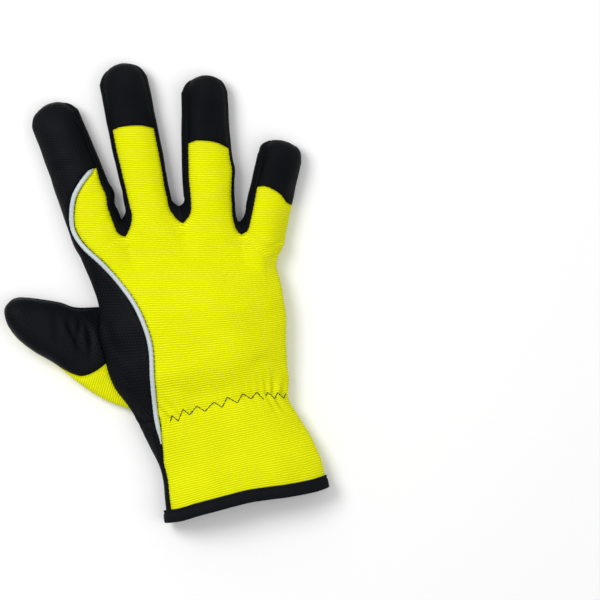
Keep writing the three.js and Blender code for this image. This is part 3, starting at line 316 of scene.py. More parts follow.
def hand_palm(f, q, h, depth):
    spot = mix(palm_rail(f, h, depth), palm_rail(f + 1, h, depth), q[..., None])
    floor = depth + hem_lift(spot[..., 1])
    spot[..., 2] = floor + (spot[..., 2] - floor) * palm_rim(q)
    return spot


def tip_rounding(t, start, least):
    u = np.clip((t - start) / (1 - start), 0, 1)
    return mix(least, 1, np.sqrt(np.maximum(0, 1 - u * u)))


def tip_narrowing(t):
    """How wide a finger still is near its tip; it ends at the slope of the bulging cap."""
    u = TIP_SLOPE * np.clip((t - TIP_NARROWS) / (1 - TIP_NARROWS), 0, 1)
    last = math.sqrt(1 - TIP_SLOPE ** 2)
    return mix(TIP_WIDTH, 1, (np.sqrt(1 - u * u) - last) / (1 - last))


def finger_frame(f, t, depth):
    """Centre line, way along and across, half width and reach of a finger at a share of its length."""
    finger = FINGERS[f]
    a, b = (np.array(rail_place(k, 1.0), dtype=float) for k in (f, f + 1))
    root = (a + b) / 2
    tip = np.array((finger["tip_x"] * HAND_WIDTH, PALM_LENGTH + finger["long"] * finger["tip_y"]))
    reach = np.linalg.norm(tip - root)
    along = (tip - root) / reach
    square = np.array((along[1], -along[0]))
    slant = math.radians(finger["slant"]) * smooth(0, 0.3, t) * (1 - smooth(0.75, 1, t))
    turned = np.stack((square[0] * np.cos(slant) - square[1] * np.sin(slant),
                       square[0] * np.sin(slant) + square[1] * np.cos(slant)), axis=-1)
    across = mix((b - a) / np.linalg.norm(b - a), turned, smooth(0, 0.3, t)[..., None])
    across /= np.linalg.norm(across, axis=-1, keepdims=True)
    far = t * reach * (1 - TIP_BULGE) - TIP_CLOTH * depth * smooth(0.6, 1, t)
    bend = finger["bow"] * reach * np.sin(math.pi * t)
    centre = root + far[..., None] * along + bend[..., None] * square
    wide = finger["wide"] * mix(finger["base"], finger["end"], smooth(0.25, 0.85, t))
    half = mix(np.linalg.norm(b - a) / 2, wide / 2 / np.cos(slant), smooth(0, 0.12, t))
    return centre, along, across, half * tip_narrowing(t), reach


def finger_middle(t):
    return mix(MID_SHARE * KNUCKLE_HEIGHT, MID_SHARE * FINGER_HEIGHT, smooth(0, 0.2, t))


def raised(place, z):
    return point(place[..., 0], place[..., 1], z)


def finger_side(f, side, t, depth):
    """Back seam, silhouette and palm seam of a finger's side, and how high the finger is."""
    finger = FINGERS[f]
    centre, along, across, half, _ = finger_frame(f, t, depth)
    k = f if side < 0 else f + 1
    outer = k in (0, LAST_RAIL)
    one = np.ones_like(t)
    root_top, root_low = back_rail(k, one, depth), palm_rail(k, one, depth)
    root_middle = outer_side(k, one, depth)[1][..., 2] if outer else finger_middle(0)
    ramp = smooth(0, 0.08, t)
    fade = tip_rounding(t, 0.85, 0.2)
    share = finger["low" if side < 0 else "high"]
    inset = share * finger["wide"] * fade * mix(1, finger["close"], smooth(0.3, 1, t))
    wrap = FINGER_WRAP * finger["wide"] * fade
    middle = finger_middle(t) + (root_middle - finger_middle(0)) * (1 - ramp)
    tall = mix(ROOT_FULLNESS, TIP_FULLNESS, t) * FINGER_HEIGHT - depth
    top = middle + (tall - middle) * tip_rounding(t, TIP_START, 0)
    out = across * side
    edge = centre + out * (half - depth * (1 if outer else ramp))[..., None]
    spread_out = ramp if outer else np.sqrt(np.clip(t / FORK_LENGTH, 0, 1))
    back_place = edge - out * (inset * spread_out)[..., None]
    palm_place = edge - out * (wrap * ramp)[..., None]
    if outer:
        back_place = mix(root_top[..., :2], back_place, ramp[..., None])
        palm_place = mix(root_low[..., :2], palm_place, ramp[..., None])
    else:
        deep = RAILS[k][3] * WEB_DEPTH - TIP_CLOTH * depth
        web = deep * np.clip(1 - t / WEB_SHARE, 0, 1) ** 2
        way = mix(np.array((0.0, 1.0)), along, smooth(0, 0.3, t)[..., None])
        edge = edge + way * web[..., None]
    palm_lift = FLOOR_ROUNDING + (middle - FLOOR_ROUNDING) * (1 - tip_rounding(t, TIP_START, 0))
    top_z = mix(root_top[..., 2], shoulder_height(inset, half, middle, top), ramp)
    low_z = np.minimum(mix(root_low[..., 2], palm_lift + depth, ramp), middle - LEAST_SIDE)
    return raised(back_place, top_z), raised(edge, middle), raised(palm_place, low_z), top


def crowned(f, u, t):
    """Rows near a cap seam bow towards the tip in the middle of the finger."""
    cap = FINGERS[f]["cap"]
    window = smooth(cap - CROWN_REACH, cap, t) * (1 - smooth(cap, cap + CROWN_REACH, t))
    return t + FINGERS[f]["crown"] * (1 - np.abs(u) ** 3) * window


def across_finger(f, q, t, depth, row):
    """The finger's two sides, and the spots between their seams with the tip's bulge."""
    a, b = (finger_side(f, side, t, depth) for side in (-1, 1))
    along, reach = finger_frame(f, t, depth)[1::3]
    spot = mix(a[row], b[row], q[..., None])
    u = 2 * q - 1
    bulge = TIP_BULGE * reach * smooth(0.8, 1, t) * (1 - u * u)
    spot[..., :2] += bulge[..., None] * along
    return a, b, spot


def finger_back(f, q, t, depth):
    u = 2 * q - 1
    a, b, spot = across_finger(f, q, crowned(f, u, t), depth, 0)
    rise = a[3] - (a[0][..., 2] + b[0][..., 2]) / 2
    spot[..., 2] += np.maximum(rise, 0) * (1 - np.abs(u) ** FINGER_POWER)
    return spot


def finger_palm(f, q, t, depth):
    spot = across_finger(f, q, t, depth, 2)[2]
    floor = (finger_middle(t) - depth) * (1 - tip_rounding(t, TIP_START, 0)) + depth
    spot[..., 2] = mix(np.minimum(floor, spot[..., 2]), spot[..., 2], palm_rim(q))
    return spot


def seam_share(row_point, rows):
    """Share of the index strip where the seam line crosses each row."""
    low, high = np.zeros(rows), np.ones(rows)
    for _ in range(40):
        middle = (low + high) / 2
        spot = row_point(middle)
        left = spot[..., 0] < seam_across(spot[..., 1])
        low, high = np.where(left, middle, low), np.where(left, high, middle)
    return np.clip((low + high) / 2, LEAST_SHARE, MOST_SHARE)


# Thumb: a ring of points at a share of its length, angles from the fork side over the back.
def thumb_column(name, at):
    return read(THUMB["at"], THUMB[name], at)


def thumb_place(along, out):
    return (THUMB_ROOT + (along * THUMB_LENGTH)[..., None] * THUMB_ALONG
            + (out * THUMB_WIDTH)[..., None] * THUMB_OUT)


def thumb_point(at, degrees, depth):
    up, low = (thumb_place(thumb_column(end + "_along", at), thumb_column(end + "_out", at))
               for end in ("up", "low"))
    half = np.linalg.norm(up - low, axis=-1) / 2
    side = (up - low) / 2 / half[..., None]
    cosine, sine = np.cos(np.radians(degrees)), np.sin(np.radians(degrees))
    out = np.sign(cosine) * np.abs(cosine) ** THUMB_POWER
    tall = THUMB_HEIGHT * thumb_column("tall", at)
    middle = MID_SHARE * tall
    full = tip_rounding(at, 0.7, 0)
    rise = np.maximum(TIP_SLIT, (tall - middle) * full - depth)
    drop = np.maximum(TIP_SLIT, middle * full - depth)
    z = middle + np.where(sine >= 0, rise * np.abs(sine) ** THUMB_POWER,
                          -drop * np.abs(sine) ** THUMB_UNDER_POWER)
    bow = THUMB_LENGTH * thumb_column("bow", at) * (1 - out * out)
    back = TIP_CLOTH * depth * smooth(0.7, 1, at)
    place = (up + low) / 2 + side * (out * (half - depth))[..., None]
    return raised(place + THUMB_ALONG * (bow - back)[..., None], z)


# Meshes as arrays: each row of data is outer point, inner point, cloth coordinates, normal.
OUTER = slice(0, 3)
INNER = slice(3, 6)
WEAVE = slice(6, 8)
NORMAL = slice(8, 11)

FOURCHETTES = ("fourchette_index_middle", "fourchette_middle_ring", "fourchette_ring_little")
CAPS = ("palm_panel", "middle_cap", "ring_cap", "little_cap")


# The weave's own coordinates: its ribs lean with the cloth, more towards the fingers.
def weave_of(outer):
    x, y = outer[..., 0], outer[..., 1]
    return np.stack((x, y + 0.24 * smooth(25, 150, y) * x), axis=-1)


def run_across(outer):
    """How far each point of a grid lies from the first of its row, along the row."""
    step = np.linalg.norm(np.diff(outer, axis=1), axis=-1)
    return np.concatenate((np.zeros((len(outer), 1)), np.cumsum(step, axis=1)), axis=1)


class Grids:
    """Collects grids of faces, and merges the points that they share."""

    def __init__(self):
        self.data, self.faces, self.tags = [], [], []
        self.count = 0

    def add(self, outer, inner, weave, tags, flip=False):
        rows, cols = outer.shape[:2]
        self.data.append(np.concatenate((outer, inner, weave), axis=-1).reshape(-1, 8))
        number = np.arange(rows * cols).reshape(rows, cols) + self.count
        quads = np.stack((number[:-1, :-1], number[:-1, 1:], number[1:, 1:], number[1:, :-1]), axis=-1)
        quads = quads.reshape(-1, 4)
        self.faces.append(quads[:, ::-1] if flip else quads)
        self.tags.append(np.broadcast_to(tags, (rows - 1, cols - 1)).reshape(-1))
        self.count += rows * cols

    def add_face(self, face, f, q, t, tags, flip=False):
        outer = face(f, q, t, 0)
        self.add(outer, face(f, q, t, CLOTH), weave_of(outer), tags, flip)

    def add_side(self, sides, step, tags, flip):
        outer, inner = (side_path(sides(depth)[:3], step) for depth in (0, CLOTH))
        weave = weave_of(outer)
        weave[..., 0] = outer[:, :1, 0] - (1 if flip else -1) * run_across(outer)
        weave[..., 1] = weave[:, :1, 1]
        self.add(outer, inner, weave, tags, flip)

    def merged(self):
        data = np.concatenate(self.data)
        key = np.round(data[:, OUTER] * 1000).astype(np.int64)
        _, first, back = np.unique(key, axis=0, return_index=True, return_inverse=True)
        quads = back.reshape(-1)[np.concatenate(self.faces)]
        tags = np.tile(np.concatenate(self.tags), 2)
        triangles = np.concatenate((quads[:, (0, 1, 2)], quads[:, (0, 2, 3)]))
        a, b, c = triangles.T
        whole = (a != b) & (b != c) & (c != a)
        return data[first], triangles[whole], tags[whole]


def mesh_edges(triangles):
    return np.concatenate((triangles[:, (0, 1)], triangles[:, (1, 2)], triangles[:, (2, 0)]))


def rim_edges(triangles):
    edges = mesh_edges(triangles)
    code, other = edges @ (10000000, 1), edges @ (1, 10000000)
    return edges[~np.isin(code, other)]


def finder_of(points):
    finder = KDTree(len(points))
    for n, spot in enumerate(points):
        finder.insert(Vector(spot), n)
    finder.balance()
    return finder


def nearest(points, targets):
    """Distance to the nearest target, and its number, for each point."""
    finder = finder_of(targets)
    found = [finder.find(Vector(spot)) for spot in points]
    return np.array([item[2] for item in found]), np.array([item[1] for item in found])


RIM_REACH = 1.3


def vertex_normals(points, triangles):
    """Normals of the points; by a fingertip's closed slit each is that of the cloth all round it."""
    a, b, c = (points[triangles[:, n]] for n in range(3))
    total = np.zeros_like(points)
    for n in range(3):
        np.add.at(total, triangles[:, n], np.cross(b - a, c - a))
    rim = np.unique(rim_edges(triangles))
    near_rim = np.flatnonzero(nearest(points, points[rim[points[rim, 1] > 1.0]])[0] < RIM_REACH)
    finder = finder_of(points)
    normals = total.copy()
    for n in near_rim:
        normals[n] = sum(total[item[1]] for item in finder.find_range(Vector(points[n]), RIM_REACH))
    return normals / np.maximum(np.linalg.norm(normals, axis=1, keepdims=True), 1e-9)


def relax(data, triangles, rounds, fixed):
    """Softens the kinks between patches without shrinking the whole or opening its seams."""
    edges = np.unique(np.sort(mesh_edges(triangles), axis=1), axis=0)
    degree = np.bincount(edges.ravel(), minlength=len(data))[:, None]
    fixed = fixed.copy()
    fixed[np.unique(rim_edges(triangles))] = True
    places = data[:, :6].copy()
    for step in range(2 * rounds):
        total = np.zeros_like(places)
        for column in range(6):
            for here, there in (edges.T, edges.T[::-1]):
                total[:, column] += np.bincount(here, places[there, column], len(data))
        share = 0.6 if step % 2 == 0 else -0.52
        places = np.where(fixed[:, None], places, places + share * (total / degree - places))
    data[:, :6] = places
    return data


HAND_ROWS = 162
STRIP_COLUMNS = 30
BLACK_COLUMNS = 16
YELLOW_COLUMNS = 16
PALM_COLUMNS = 26
SIDE_COLUMNS = 14


def spread(count):
    return np.linspace(0, 1, count + 1)


def strip_shares(f, seams, rows):
    """Columns of a back strip; the index strip has the seam line at one of its columns."""
    if f > 0:
        return np.broadcast_to(spread(STRIP_COLUMNS), (rows, STRIP_COLUMNS + 1))
    black = seams[:, None] * spread(BLACK_COLUMNS)
    yellow = mix(seams[:, None], 1, spread(YELLOW_COLUMNS)[1:])
    return np.concatenate((black, yellow), axis=1)


def finger_rows(f):
    """Shares of a finger's length, crowding together at its tip, and the row of the cap seam."""
    cap = FINGERS[f]["cap"]
    reach = finger_frame(f, np.zeros(1), 0)[4]
    below = max(12, round(cap * reach))
    above = max(14, round((1 - cap) * reach * 1.25))
    rest = 1 - (1 - spread(above)) ** 1.35
    return np.concatenate((cap * spread(below), mix(cap, 1, rest[1:]))), below


def build_bag():
    bag = Grids()
    rows = spread(HAND_ROWS)
    seams = seam_share(lambda q: hand_back(0, q, rows, 0), len(rows))
    for f in range(len(FINGERS)):
        shares = strip_shares(f, seams, len(rows))
        names = np.full(shares.shape[1] - 1, "back_panel", dtype=object)
        if f == 0:
            names[:BLACK_COLUMNS] = "palm_panel"
        bag.add_face(hand_back, f, shares, np.broadcast_to(rows[:, None], shares.shape), names)
        q, h = np.meshgrid(spread(PALM_COLUMNS), rows)
        bag.add_face(hand_palm, f, q, h, "palm_panel", True)
    step, h = np.meshgrid(2 * spread(SIDE_COLUMNS), rows)
    bag.add_side(lambda depth: outer_side(0, h, depth), step, "palm_panel", True)
    bag.add_side(lambda depth: outer_side(LAST_RAIL, h, depth), step, "back_panel", False)
    for f in range(len(FINGERS)):
        add_finger(bag, f)
    return bag.merged()


def add_finger(bag, f):
    rows, cap_row = finger_rows(f)
    seams = seam_share(lambda q: finger_back(0, q, rows, 0), len(rows))
    past = np.arange(len(rows)) - cap_row
    seams = np.where(past > 0, mix(seams[cap_row], TIP_SHARE, smooth(0, 16, past)), seams)
    shares = strip_shares(f, seams, len(rows))
    names = np.full((len(rows) - 1, shares.shape[1] - 1), CAPS[f], dtype=object)
    names[:cap_row] = "back_panel"
    if f == 0:
        names[:, :BLACK_COLUMNS] = "palm_panel"
    bag.add_face(finger_back, f, shares, np.broadcast_to(rows[:, None], shares.shape), names)
    q, t = np.meshgrid(spread(PALM_COLUMNS), rows)
    bag.add_face(finger_palm, f, q, t, "palm_panel", True)
    step, t = np.meshgrid(2 * spread(SIDE_COLUMNS), rows)
    for side in (-1, 1):
        names = np.full((len(rows) - 1, SIDE_COLUMNS), "palm_panel", dtype=object)
        if f == LAST_FINGER and side > 0:
            names[:cap_row] = "back_panel"
            names[cap_row:] = CAPS[f]
        elif f > 0 or side > 0:
            names[:-2] = FOURCHETTES[f - 1 if side < 0 else f]
            names[-2:, :SIDE_COLUMNS // 2] = CAPS[f]
        bag.add_side(lambda depth: finger_side(f, side, t, depth), step, names, side < 0)


SOFTEN_ROUNDS = 14
TIP_ROUNDS = 70
TIP_REACH = 15.0


def away_from_tips(data):
    """Marks the points farther than TIP_REACH from every fingertip, FORK_REACH from every fork."""
    tips = [(finger_frame(f, np.ones(1), 0)[0][0], TIP_REACH) for f in range(len(FINGERS))]
    forks = [(np.array(rail_place(k, 1.0)) + (0, 6), FORK_REACH) for k in range(1, LAST_RAIL)]
    return np.all([np.linalg.norm(data[:, :2] - spot, axis=1) > reach for spot, reach in tips + forks],
                  axis=0)


THUMB_ROWS = 90
THUMB_PARTS = (("thumb_back", 36, "fork", "back"), ("thumb_side_panel", 22, "back", "palm"),
               ("thumb_front", 44, "palm", "round"))


def thumb_seam(name, at):
    if name in ("back", "palm"):
        return thumb_column(name, at)
    return np.full_like(at, THUMB_FORK_SEAM + (360 if name == "round" else 0))


def build_thumb():
    grids = Grids()
    rows = np.sin(math.pi / 2 * spread(THUMB_ROWS)) ** 1.1
    for name, count, start, end in THUMB_PARTS:
        share, at = np.meshgrid(spread(count), rows)
        degrees = mix(thumb_seam(start, at), thumb_seam(end, at), share)
        outer = thumb_point(at, degrees, 0)
        along = (outer[..., :2] - np.array(THUMB_ROOT)) @ THUMB_ALONG
        weave = np.stack((run_across(outer), along), axis=-1)
        grids.add(outer, thumb_point(at, degrees, THUMB_CLOTH), weave, name, True)
    return grids.merged()



# Creases: the ends of each in the glove's plan, then its half width and depth.
CREASES = {
    "back": (
        (46, 139.5, 57, 138, 1.1, 0.7), (46, 136.6, 56, 135, 1.0, 0.7), (45, 133.6, 54, 132.4, 1.1, 0.8),
        (30, 145, 47, 138, 3.0, 0.5), (-46, 150, -30, 138, 3.5, 0.35), (20, 120, 46, 112, 4.0, 0.35),
        (-8, 108, 28, 98, 5.0, 0.3), (-30, 92, 10, 84, 5.0, 0.3), (22, 76, 42, 70, 3.5, 0.5),
        (-34, 74, -14, 68, 3.0, 0.4), (-58, 118, -48, 96, 2.4, 0.5), (-57, 98, -47, 78, 2.0, 0.5),
        (-50, 66, -40, 52, 1.8, 0.6), (-59, 150, -48, 176, 3.0, 0.35), (-65, 200, -52, 216, 3.5, 0.35),
    ),
    "palm": (
        (-48, 143, -5, 170, 2.4, 1.2), (-36, 141, 12, 158, 2.2, 1.0), (33, 140, 45, 133, 2.0, 1.3),
        (30, 146, 46, 141, 1.8, 1.0), (-30, 75, 30, 70, 2.6, 1.0), (-28, 62, 36, 58, 2.2, 0.9),
        (-24, 100, 18, 112, 3.4, 0.7), (-20, 88, 30, 92, 3.0, 0.6), (-36, 40, 38, 36, 3.4, 0.6),
        (-62, 184, -36, 188, 2.2, 0.9), (-30, 190, -4, 192, 2.2, 0.9), (8, 182, 34, 178, 2.2, 0.9),
        (40, 160, 62, 154, 2.0, 0.8), (-68, 212, -42, 214, 2.0, 0.7), (-28, 216, -6, 218, 2.0, 0.7),
        (14, 204, 34, 202, 2.0, 0.7),
    ),
    "thumb": (
        (-70, 121, -71, 104, 1.5, 1.0), (-74, 124, -75, 106, 1.5, 0.8), (-66, 120, -67, 100, 1.6, 0.8),
        (-84, 128, -82, 112, 2.4, 0.5), (-78, 92, -66, 84, 1.6, 0.5), (-72, 92, -60, 78, 1.6, 0.5),
    ),
}
ELASTIC = columns(("x", "y"), ((-42, 57), (-30, 56.5), (-20, 57.5), (-5, 58), (8, 59), (22, 58),
                               (36, 55), (46, 54)))
# Where a fourchette bellies out or pinches in: its place, the shift across, and its reach.
BULGES = ((-35.0, 189.5, 1.3, 4.0), (-34.5, 181.5, -1.0, 3.5), (35.0, 186.0, 1.0, 5.0),
          (31.0, 172.0, -0.6, 6.0), (-4.0, 186.0, -0.5, 6.0), (54.5, 137.5, 1.0, 3.5),
          (47.5, 129.5, -1.2, 3.5))
WAVE_COUNT = 6


def waves(places, wavelength, seed):
    """Smooth random height, about -1 to 1, that repeats nowhere."""
    rng = np.random.default_rng(seed)
    total = np.zeros(places.shape[:-1])
    for _ in range(WAVE_COUNT):
        way = rng.normal(size=3)
        way /= np.linalg.norm(way)
        size = wavelength * rng.uniform(0.7, 1.4)
        total += np.sin(TURN * (places @ way) / size + rng.uniform(0, TURN))
    return total / math.sqrt(WAVE_COUNT) / 1.4


def creased(height, places, part):
    """Adds each fold of a part: a valley that fades at its ends, with a swell on each side."""
    for x, y, to_x, to_y, width, depth in CREASES[part]:
        way = np.array((to_x - x, to_y - y), dtype=float)
        length = np.linalg.norm(way)
        way /= length
        away = places[..., :2] - (x, y)
        along = away @ way / length
        off = away @ np.array((-way[1], way[0])) + 0.8 * width * np.sin(along * 4 + x)
        fade = smooth(-0.25, 0.3, along) * (1 - smooth(0.7, 1.25, along))
        valley = np.exp(-(off / width) ** 2)
        swell = np.exp(-((np.abs(off) - 2.3 * width) / (1.4 * width)) ** 2)
        height = height + depth * fade * (0.4 * swell - valley)
    return height


def pull_of_elastic(places):
    """Puckers that fan out of the elastic, strongest by the seams, and the channel it is sewn in."""
    x, y = places[..., 0], places[..., 1]
    away = y - read(ELASTIC["x"], ELASTIC["y"], x)
    strong = 0.3 + 1.1 * np.exp(-((x + 32) / 6) ** 2) + 0.9 * np.exp(-((x - 32) / 8) ** 2)
    phase = 2.2 * waves(places * (1, 0, 0), 23, 5)
    fan = np.sin(TURN * x / (4.6 + 0.05 * np.abs(away)) + phase + 0.09 * away)
    return 0.7 * strong * fan * np.exp(-(away / 8.5) ** 2) - 0.8 * np.exp(-(away / 1.6) ** 2)


def hand_folds(places, facing):
    """Height off the smooth shape; folds below only lift the cloth off the floor."""
    back = 0.55 * waves(places, 44, 1) + 0.22 * waves(places, 17, 2) + pull_of_elastic(places)
    palm = 0.5 * waves(places, 36, 3) + 0.25 * waves(places, 13, 4)
    upper = smooth(-0.35, 0.35, facing)
    height = mix(np.minimum(creased(palm, places, "palm"), 0), creased(back, places, "back"), upper)
    return height * np.clip(smooth(4, 14, places[..., 2]) + 1 - upper, 0.25, 1)


def thumb_folds(places, facing):
    height = creased(0.4 * waves(places, 26, 7) + 0.2 * waves(places, 11, 8), places, "thumb")
    return mix(np.minimum(height, 0), height, smooth(-0.35, 0.35, facing))


def displace(data, triangles, folds):
    """Adds folds and bulges to outer and inner face alike, then the normals as new columns."""
    normals = vertex_normals(data[:, OUTER], triangles)
    places = data[:, OUTER]
    shift = normals * folds(places, normals[:, 2])[:, None]
    for x, y, across, reach in BULGES:
        off = np.hypot(places[:, 0] - x, places[:, 1] - y) / reach
        shift[:, 0] += across * np.exp(-off ** 2)
    data[:, :6] += np.tile(shift, 2)
    return np.concatenate((data, vertex_normals(data[:, OUTER], triangles)), axis=1)


def compact(data, triangles):
    """A mesh without its unused points."""
    used, back = np.unique(triangles, return_inverse=True)
    return data[used], back.reshape(-1, 3)


def clip(data, triangles, field):
    """Keeps the side of a mesh where the field is positive, cut along its zero line."""
    field = np.where(np.abs(field) < 0.04, 0.0, field)
    corner = field[triangles]
    some = (corner > 0).any(axis=1)
    kept = some & (corner >= 0).all(axis=1)
    rows, made, pieces = [], {}, triangles[kept].tolist()

    def crossing(i, j):
        i, j = min(i, j), max(i, j)
        if (i, j) not in made:
            made[i, j] = len(data) + len(rows)
            rows.append(mix(data[i], data[j], field[i] / (field[i] - field[j])))
        return made[i, j]

    for triangle in triangles[some & ~kept].tolist():
        loop = []
        for i, j in zip(triangle, triangle[1:] + triangle[:1]):
            if field[i] >= 0:
                loop.append(i)
            if field[i] * field[j] < 0:
                loop.append(crossing(i, j))
        pieces += [(loop[0], *pair) for pair in zip(loop[1:], loop[2:])]
    return compact(np.concatenate((data, np.array(rows).reshape(-1, data.shape[1]))), np.array(pieces))


def tree(points, triangles):
    return BVHTree.FromPolygons([tuple(p) for p in points], [tuple(int(v) for v in t) for t in triangles])


def inside(shape, spot):
    """Whether a ray from the spot leaves the closed shape an odd number of times."""
    way = Vector((0.31, 0.17, 0.93)).normalized()
    place = shape.ray_cast(spot, way)[0]
    odd = False
    while place is not None:
        odd = not odd
        place = shape.ray_cast(place + way * 0.0001, way)[0]
    return odd


def signed_distance(shape, points, limit):
    """Distance of each point from a closed shape, negative inside; far points count as outside."""
    result = np.full(len(points), limit)
    for n, spot in enumerate(points):
        away = shape.find_nearest(Vector(spot), limit)[3]
        if away is not None:
            result[n] = -away if inside(shape, Vector(spot)) else away
    return result


# How far the hem waves up or down along the cuff.
HEM_WAVE = columns(("x", "up"), ((-48, 0.3), (-38, -0.5), (-28, 0.2), (-5, 1.0), (3, 1.1), (15, 0.1),
                                 (25, -0.9), (40, -1.5), (48, -0.8)))
STITCH_PITCH = 2.9
LOW_CLOTH = -0.6


def settled(points):
    """Points with the wave of the hem, kept clear of the floor."""
    x, y, z = points.T
    y = y + read(HEM_WAVE["x"], HEM_WAVE["up"], x) * (1 - smooth(4, 32, y))
    return point(x, y, np.maximum(z, FLOOR_GAP))


def sew(data, triangles, sink, reach):
    """Draws the cloth in along its seams and puckers it at each stitch; returns seam distances."""
    rim = np.unique(rim_edges(triangles))
    targets = data[rim[data[rim, 1] > 1.0], OUTER]
    away, number = nearest(data[:, OUTER], targets)
    normals = data[:, NORMAL]
    level = smooth(0.0, 0.5, np.abs(normals[:, 2]))
    run = targets[number] @ (0.6, 1, 0.5)
    pucker = 0.16 * np.sin(TURN * run / STITCH_PITCH) * np.exp(-away / 2.2) * mix(0.3, 1, level)
    fall = sink * np.exp(-(away / reach) ** 2) - 0.25 * sink * np.exp(-((away - 3.4) / 1.8) ** 2)
    fall = fall * mix(0.25, 1, level)
    low = normals[:, 2] < LOW_CLOTH
    fall = np.where(low, np.maximum(fall, 0), fall) - np.where(low, np.minimum(pucker, 0), pucker)
    data[:, OUTER] -= normals * fall[:, None]
    data[:, INNER] -= normals * np.minimum(fall, 0)[:, None]
    return away


def make_object(name, points, faces, materials, attributes, index=0):
    mesh = bpy.data.meshes.new(name)
    places = (np.asarray(points) + HEM_MIDDLE) * MM
    mesh.from_pydata(places.tolist(), [], [tuple(int(v) for v in face) for face in faces])
    mesh.polygons.foreach_set("material_index", np.broadcast_to(index, len(faces)).astype(np.int32))
    for key, values in attributes.items():
        kind, field = ("FLOAT", "value") if values.ndim == 1 else ("FLOAT_VECTOR", "vector")
        layer = mesh.attributes.new(key, kind, "POINT")
        layer.data.foreach_set(field, values.astype(np.float32).ravel())
    mesh.polygons.foreach_set("use_smooth", np.full(len(faces), True))
    mesh.update()
    for material in materials:
        mesh.materials.append(material)
    item = bpy.data.objects.new(name, mesh)
    bpy.context.collection.objects.link(item)
    return item


def dress(item, node):
    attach(item, "root")
    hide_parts(node)


def solid_cloth(name, data, triangles, sink, reach, face, slot):
    """A closed piece of sewn cloth: outer face, lining, and the turned edge between them."""
    seams = sew(data, triangles, sink, reach)
    edges = rim_edges(triangles)
    count = len(data)
    rim = np.unique(edges)
    number = np.full(count, -1)
    number[rim] = np.arange(len(rim)) + 2 * count
    middle = mix(data[rim, OUTER], data[rim, INNER], 0.5)
    points = settled(np.concatenate((data[:, OUTER], data[:, INNER], middle)))
    a, b = edges.T
    upper = np.stack((b, a, number[a], number[b]), axis=1)
    lower = np.stack((number[b], number[a], a + count, b + count), axis=1)
    faces = triangles.tolist() + (triangles[:, ::-1] + count).tolist() + upper.tolist() + lower.tolist()
    index = np.repeat((0, 1, 0, 1), (len(triangles), len(triangles), len(edges), len(edges)))
    rows = np.concatenate((np.arange(count), np.arange(count), rim))
    weave = np.column_stack((data[rows, WEAVE], np.zeros(len(rows))))
    item = make_object(name + "_cloth", points, faces, (face, lining), {"cloth": weave, "seam": seams[rows]},
                       index)
    dress(item, name)
    return item


class Nodes:
    """Short names for building a shader on the cloth's own coordinates."""

    def __init__(self, name, colour, roughness=0.5):
        self.material = bpy.data.materials.new(name)
        self.material.use_nodes = True
        self.material.diffuse_color = (*colour, 1)
        self.tree = self.material.node_tree
        self.shader = self.tree.nodes["Principled BSDF"]
        self.fill(self.shader, {"Base Color": colour, "Roughness": roughness})

    def fill(self, node, values):
        """Puts numbers, colours or the outputs of other nodes into the inputs of a node."""
        for key, value in values.items():
            if isinstance(value, tuple):
                node.inputs[key].default_value = (*value, 1)
            elif isinstance(value, (int, float)):
                node.inputs[key].default_value = value
            else:
                self.tree.links.new(value, node.inputs[key])

    def add(self, kind, values, **settings):
        node = self.tree.nodes.new("ShaderNode" + kind)
        for key, value in settings.items():
            setattr(node, key, value)
        self.fill(node, values)
        return node.outputs

    def math(self, operation, *values):
        return self.add("Math", dict(enumerate(values)), operation=operation)[0]

    def times(self, *values):
        return self.math("MULTIPLY", *values)

    def scaled(self, value, scale, more):
        return self.math("MULTIPLY_ADD", value, scale, more)

    def attribute(self, name, output="Vector"):
        return self.add("Attribute", {}, attribute_name=name)[output]

    def parts(self):
        return self.add("SeparateXYZ", {0: self.attribute("cloth")})[:2]

    def noise(self, scale, detail):
        place = self.attribute("cloth")
        return self.add("TexNoise", {"Scale": scale, "Detail": detail, "Vector": place})["Fac"]

    def span(self, value, low, high, to_low=0.0, to_high=1.0):
        return self.add("MapRange", dict(enumerate((value, low, high, to_low, to_high))))[0]

    def finish(self, height, strength, distance, share, dark, light, roughness, **more):
        """Adds the relief, and the colour between dark and light."""
        normal = self.add("Bump", {"Strength": strength, "Distance": distance, "Height": height})["Normal"]
        colour = self.add("Mix", {0: share, 6: dark, 7: light}, data_type="RGBA")[2]
        self.fill(self.shader, {"Normal": normal, "Base Color": colour, "Roughness": roughness})
        self.fill(self.shader, {key.replace("_", " "): value for key, value in more.items()})
        return self.material


RIB_PITCH = 1.27
THREAD_PITCH = 0.95
DOT_PITCH = 1.75
TAPE_PITCH = 0.9
YELLOW = (0.87, 0.93, 0.002)
# Painted shade of the yellow cloth: the colour of the grooves of its weave and of the cloth beside its seams.
YELLOW_SHADE = (0.4, 0.36, 0.0005)
BLACK = (0.0018, 0.0024, 0.0035)
# A lighter black: painted highlight on the tops of the grip's raised dots, and random fuzz tone in the
# binding tape.
BLACK_HIGHLIGHT_AND_FUZZ = (0.0065, 0.008, 0.011)


